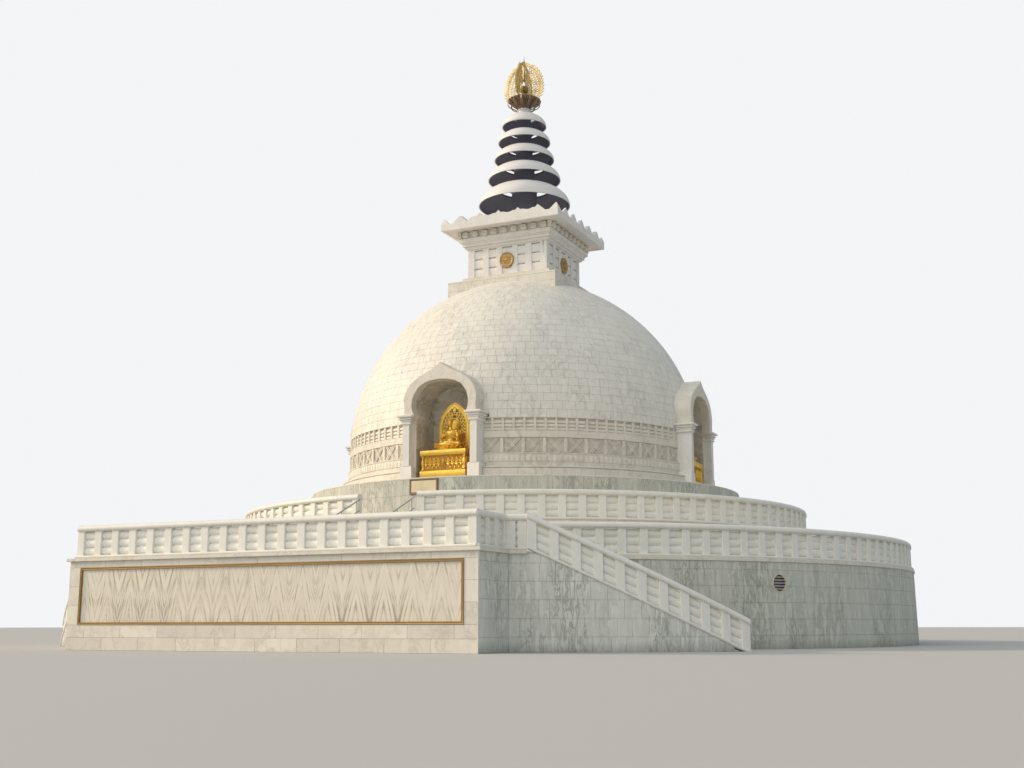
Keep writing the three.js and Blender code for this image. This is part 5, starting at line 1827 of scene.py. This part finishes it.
def seatedBody():
    y = figure["y"] + 0.06
    shapes, rings = [], []
    for z, rx, ry, back in ((7.95, 0.33, 0.22, 0.02), (8.06, 0.31, 0.21, 0.02), (8.18, 0.225, 0.165, 0.02),
                            (8.28, 0.205, 0.15, 0.01), (8.40, 0.25, 0.16, 0.0), (8.50, 0.285, 0.16, 0.0),
                            (8.58, 0.285, 0.145, 0.01), (8.64, 0.22, 0.11, 0.02), (8.68, 0.12, 0.085, 0.02),
                            (8.73, 0.073, 0.073, 0.01), (8.84, 0.068, 0.07, 0.0)):
        rings.append([(rx * math.cos(t), y + back + ry * math.sin(t), z) for t in circle(24)])
    shapes.append(loft(rings))
    shapes.append(ball((0, y - 0.17, 7.99), (0.50, 0.25, 0.075)))
    for s in (-1, 1):
        shapes += limb([(s * 0.15, y, 8.06), (s * 0.36, y - 0.15, 8.07), (s * 0.50, y - 0.26, 8.04)],
                       [0.16, 0.135, 0.10])
        shapes += limb([(s * 0.50, y - 0.26, 8.03), (s * 0.24, y - 0.36, 8.04 + 0.03 * (s > 0)),
                        (-s * 0.05, y - 0.36, 8.06 + 0.05 * (s > 0))], [0.095, 0.085, 0.06])
        shapes.append(ball((-s * 0.20, y - 0.31, 8.10 + 0.04 * (s > 0)), (0.13, 0.055, 0.035),
                           roundZ(s * 28)))
        for toe in range(5):
            shapes.append(ball((-s * (0.31 - 0.008 * toe), y - 0.27 - 0.022 * toe, 8.115 + 0.04 * (s > 0)),
                               (0.022, 0.012, 0.013)))
        shapes += limb([(s * 0.265, y + 0.01, 8.575), (s * 0.33, y - 0.01, 8.44),
                        (s * 0.355, y - 0.07, 8.29)],
                       [0.085, 0.075, 0.062])
        shapes += limb([(s * 0.355, y - 0.07, 8.29), (s * 0.24, y - 0.22, 8.33), (s * 0.10, y - 0.29, 8.41)],
                       [0.062, 0.052, 0.036])
        shapes.append(ball((s * 0.055, y - 0.305, 8.44), (0.045, 0.022, 0.05),
                           Matrix.Rotation(math.radians(s * 30), 4, "Y")))
        for finger in range(4):
            x = s * (0.028 + 0.017 * finger)
            shapes.append(tube([(x + s * 0.01, y - 0.312, 8.455), (x, y - 0.33, 8.50 - 0.006 * finger),
                                (x - s * 0.012, y - 0.335, 8.535 - 0.01 * finger)], [0.011, 0.010, 0.008],
                               8))
        shapes.append(tube([(s * 0.045, y - 0.32, 8.43), (s * 0.02, y - 0.345, 8.46),
                            (s * 0.006, y - 0.35, 8.49)],
                           [0.012, 0.011, 0.009], 8))
        # the sleeve hangs from the forearm to the knee
        shapes.append(loft([[(s * (0.36 + 0.05 * u) + 0.05 * math.cos(t) * (1 + u), y - 0.05 - 0.12 * u
                              + (0.07 + 0.03 * u) * math.sin(t), 8.32 - 0.25 * u)
                             for t in circle(14)] for u in (0, 0.35, 0.7, 1.0)]))
    shapes += robeFolds(y)
    return shapes


def robeFolds(y):
    # Raised folds: over the left shoulder, across the chest and round the legs.
    folds = []
    for i in range(5):
        start, drift = 0.10 + 0.036 * i, 0.05 * i
        path = []
        for k in range(9):
            u = k / 8
            x = start + 0.05 - u * (0.30 + 0.05 * i)
            z = 8.64 - 0.012 * i - u * (0.36 + drift * 0.5)
            wide = 0.285 if z > 8.45 else 0.235
            share = max(1 - (x / wide) ** 2, 0.05)
            path.append((x, y + 0.012 - (0.158 if z < 8.58 else 0.135) * math.sqrt(share) - 0.004, z))
        folds.append(tube(path, 0.011, 8))
    for i in range(4):
        reach = 0.50 - 0.075 * i
        path = []
        for k in range(13):
            u = k / 12 * 2 - 1
            path.append((u * reach, y - 0.16 - (0.30 - 0.03 * i) * (1 - u * u) ** 0.5, 7.985 + 0.03 * i
                         + 0.02 * u * u))
        folds.append(tube(path, 0.014, 8))
    for s in (-1, 1):
        for i in range(3):
            folds.append(tube([(s * (0.16 + 0.05 * i), y - 0.12 - 0.06 * i, 8.19 - 0.01 * i),
                               (s * (0.32 + 0.04 * i), y - 0.20 - 0.05 * i, 8.165 - 0.02 * i),
                               (s * (0.47 + 0.03 * i), y - 0.28 - 0.03 * i, 8.11 - 0.03 * i)], 0.011, 8))
    return folds


def calmHead():
    # A plain round-cheeked face after the usual drawing rules: eyes half way up, calm and closed.
    x0, y0, z0 = 0.0, figure["y"] + 0.04, 8.93
    shapes = [ball((0, y0 + 0.008, z0 + 0.03), (0.112, 0.124, 0.115)),
              ball((0, y0 - 0.018, z0 - 0.045), (0.088, 0.094, 0.098)),
              ball((0, y0 - 0.070, z0 - 0.113), (0.036, 0.032, 0.024)),
              tube([(0, y0 + 0.02, z0 - 0.17), (0, y0 + 0.01, z0 - 0.06)], [0.068, 0.062], 16)]
    for s in (-1, 1):
        shapes.append(ball((s * 0.045, y0 - 0.075, z0 - 0.052), (0.034, 0.028, 0.036)))
        shapes.append(tube([(s * 0.014, y0 - 0.116, z0 + 0.020), (s * 0.042, y0 - 0.110, z0 + 0.030),
                            (s * 0.074, y0 - 0.086, z0 + 0.018)], [0.006, 0.007, 0.005], 8))
        shapes.append(ball((s * 0.042, y0 - 0.098, z0 - 0.002), (0.024, 0.014, 0.012)))
        shapes.append(tube([(s * 0.020, y0 - 0.111, z0 - 0.004), (s * 0.042, y0 - 0.112, z0 - 0.010),
                            (s * 0.064, y0 - 0.098, z0 - 0.004)], 0.0036, 8))
        shapes += limb([(s * 0.112, y0 + 0.010, z0 + 0.012), (s * 0.116, y0 + 0.006, z0 - 0.035),
                        (s * 0.108, y0 + 0.004, z0 - 0.085)], [0.020, 0.013, 0.016])
        shapes.append(ball((s * 0.010, y0 - 0.122, z0 - 0.040), (0.010, 0.012, 0.008)))
    shapes.append(tube([(0, y0 - 0.113, z0 + 0.016), (0, y0 - 0.124, z0 - 0.012),
                        (0, y0 - 0.136, z0 - 0.038)],
                       [0.009, 0.010, 0.013], 10))
    shapes.append(ball((0, y0 - 0.112, z0 - 0.070), (0.028, 0.012, 0.0065)))
    shapes.append(ball((0, y0 - 0.110, z0 - 0.082), (0.021, 0.012, 0.0075)))
    return shapes, (x0, y0, z0)


def hairKnobs(centre):
    knobs = []
    x0, y0, z0 = centre
    for row in range(7):
        lift = math.radians(14 + 12.5 * row)
        count = max(int(26 * math.cos(lift)), 5)
        for k in range(count):
            a = 2 * math.pi * (k + 0.5 * (row % 2)) / count
            x, y = 0.116 * math.cos(lift) * math.cos(a), 0.127 * math.cos(lift) * math.sin(a)
            z = 0.118 * math.sin(lift)
            if y < -0.078 and z < 0.060:
                continue
            knobs.append(ball((x0 + x, y0 + 0.008 + y, z0 + 0.03 + z), (0.0135, 0.0135, 0.0125), sides=8))
    knobs.append(ball((x0, y0 + 0.02, z0 + 0.14), (0.052, 0.052, 0.05)))
    for row in range(4):
        lift = math.radians(5 + 24 * row)
        count = max(int(13 * math.cos(lift)), 3)
        for k in range(count):
            a = 2 * math.pi * (k + 0.5 * (row % 2)) / count
            knobs.append(ball((x0 + 0.055 * math.cos(lift) * math.cos(a), y0 + 0.02 + 0.055 * math.cos(lift)
                               * math.sin(a), z0 + 0.14 + 0.053 * math.sin(lift)), (0.0135, 0.0135, 0.0125),
                              sides=8))
    return knobs


def haloWidth(t):
    # Nearly straight sides under a round head.
    if t < 0.52:
        return figure["haloHalf"] * (0.94 + 0.06 * math.sin(math.pi * t / 1.04))
    return figure["haloHalf"] * (1 - min((t - 0.52) / 0.48, 1) ** 2) ** 0.72


def makeHalo():
    low, high = figure["seat"], figure["haloTop"]
    tall, front, back = high - low, figure["haloFront"], figure["haloBack"]

    def edge(scale, steps=28):
        shares = [k / steps if k < steps * 0.6 else 1 - 0.4 * ((steps - k) / (0.4 * steps)) ** 1.6
                  for k in range(steps + 1)]
        right = [(max(haloWidth(t) - scale, 0.0), low + tall * t - scale * t ** 3) for t in shares]
        return right + [(-x, z) for x, z in reversed(right[:-1])]

    y0, y1 = front + 0.006, back - 0.006
    shapes = [strip(edge(0.0), edge(0.15), y0, y1)]
    for row, count, inset, first, step in ((0, 14, 0.225, 0.04, 0.066), (1, 11, 0.36, 0.06, 0.072),
                                           (2, 7, 0.49, 0.36, 0.072)):
        for k in range(count):
            t = first + step * k
            z, wide = low + tall * t, haloWidth(t)
            x = wide - inset - 0.04 * max(t - 0.6, 0)
            if x > 0.03 and math.hypot(x, z - 8.80) > 0.28:
                for sign in (-1, 1):
                    lean = -sign * (18 + 60 * max(t - 0.5, 0))
                    deep = 0.0012 * ((k + row) % 4)
                    shapes.append(loop(drop(sign * x, z, 0.125, 0.085, lean, 12), 0.026, y0 + 0.01 - deep,
                                       y1 - 0.01))
    body = [(-0.34, low), (0.34, low), (0.36, 8.2), (0.30, 8.55), (0.12, 8.62), (-0.12, 8.62), (-0.30, 8.55),
            (-0.36, 8.2)]
    shapes.append(plate(body, y0 + 0.012, y1 - 0.012))
    shapes.append(plate(drop(0, high - 0.25, 0.24, 0.15, 0), y0 - 0.004, y1 - 0.003))
    shapes.append(moved(turned([(0, 0), (0.265, 0), (0.275, 0.02), (0.27, 0.055), (0, 0.055)], 48),
                        Matrix.Translation((0, y1, 8.80)) @ upright))
    screen = newPiece("halo", shapes, gilt, angle=30)
    rim = [(x, (front + back) / 2 - 0.004, z) for x, z in edge(0.045)]
    inner = [(x, front + 0.006, z) for x, z in edge(0.155)]
    ring = [(0.235 * math.sin(a), front, 8.80 + 0.235 * math.cos(a)) for a in (*circle(40), 2 * math.pi)]
    bands = [tube(rim, 0.042, 12), tube(inner, 0.016, 8), tube(ring, 0.018, 10)]
    for k in range(24):
        a = math.radians(15 * k)
        bands.append(ball((0.19 * math.sin(a), front, 8.80 + 0.19 * math.cos(a)), (0.014, 0.014, 0.014),
                          sides=8))
    return fuse("haloWork", [screen, newPiece("haloBands", bands, gilt)])


def makeFigures():
    seat, halo = lotusSeat(), makeHalo()
    body = remeshed("figureBody", seatedBody(), figure["voxel"], 3, gilt)
    shapes, centre = calmHead()
    head = remeshed("figureHead", shapes, figure["headVoxel"], 2, gilt)
    hair = newPiece("figureHair", hairKnobs(centre), gilt, angle=60)
    for part in (head, hair):
        neck = Matrix.Translation((0, figure["y"], 8.78))
        part.data.transform(neck @ Matrix.Scale(0.93, 4) @ neck.inverted())
    whole = fuse("figure", [body, head, hair])
    whole.data.transform(Matrix.Translation((0, 0, -0.125)))
    whole = fuse("figure", [whole, seat])
    inNiches("figure", whole, "Statue", halo, "Halo")


makePedestals()
makeFigures()
print("figures ready")


# The last steps.

for part in [item for item in scene.objects if item.hide_render and "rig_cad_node" not in item]:
    bpy.data.objects.remove(part)
print("model ready")
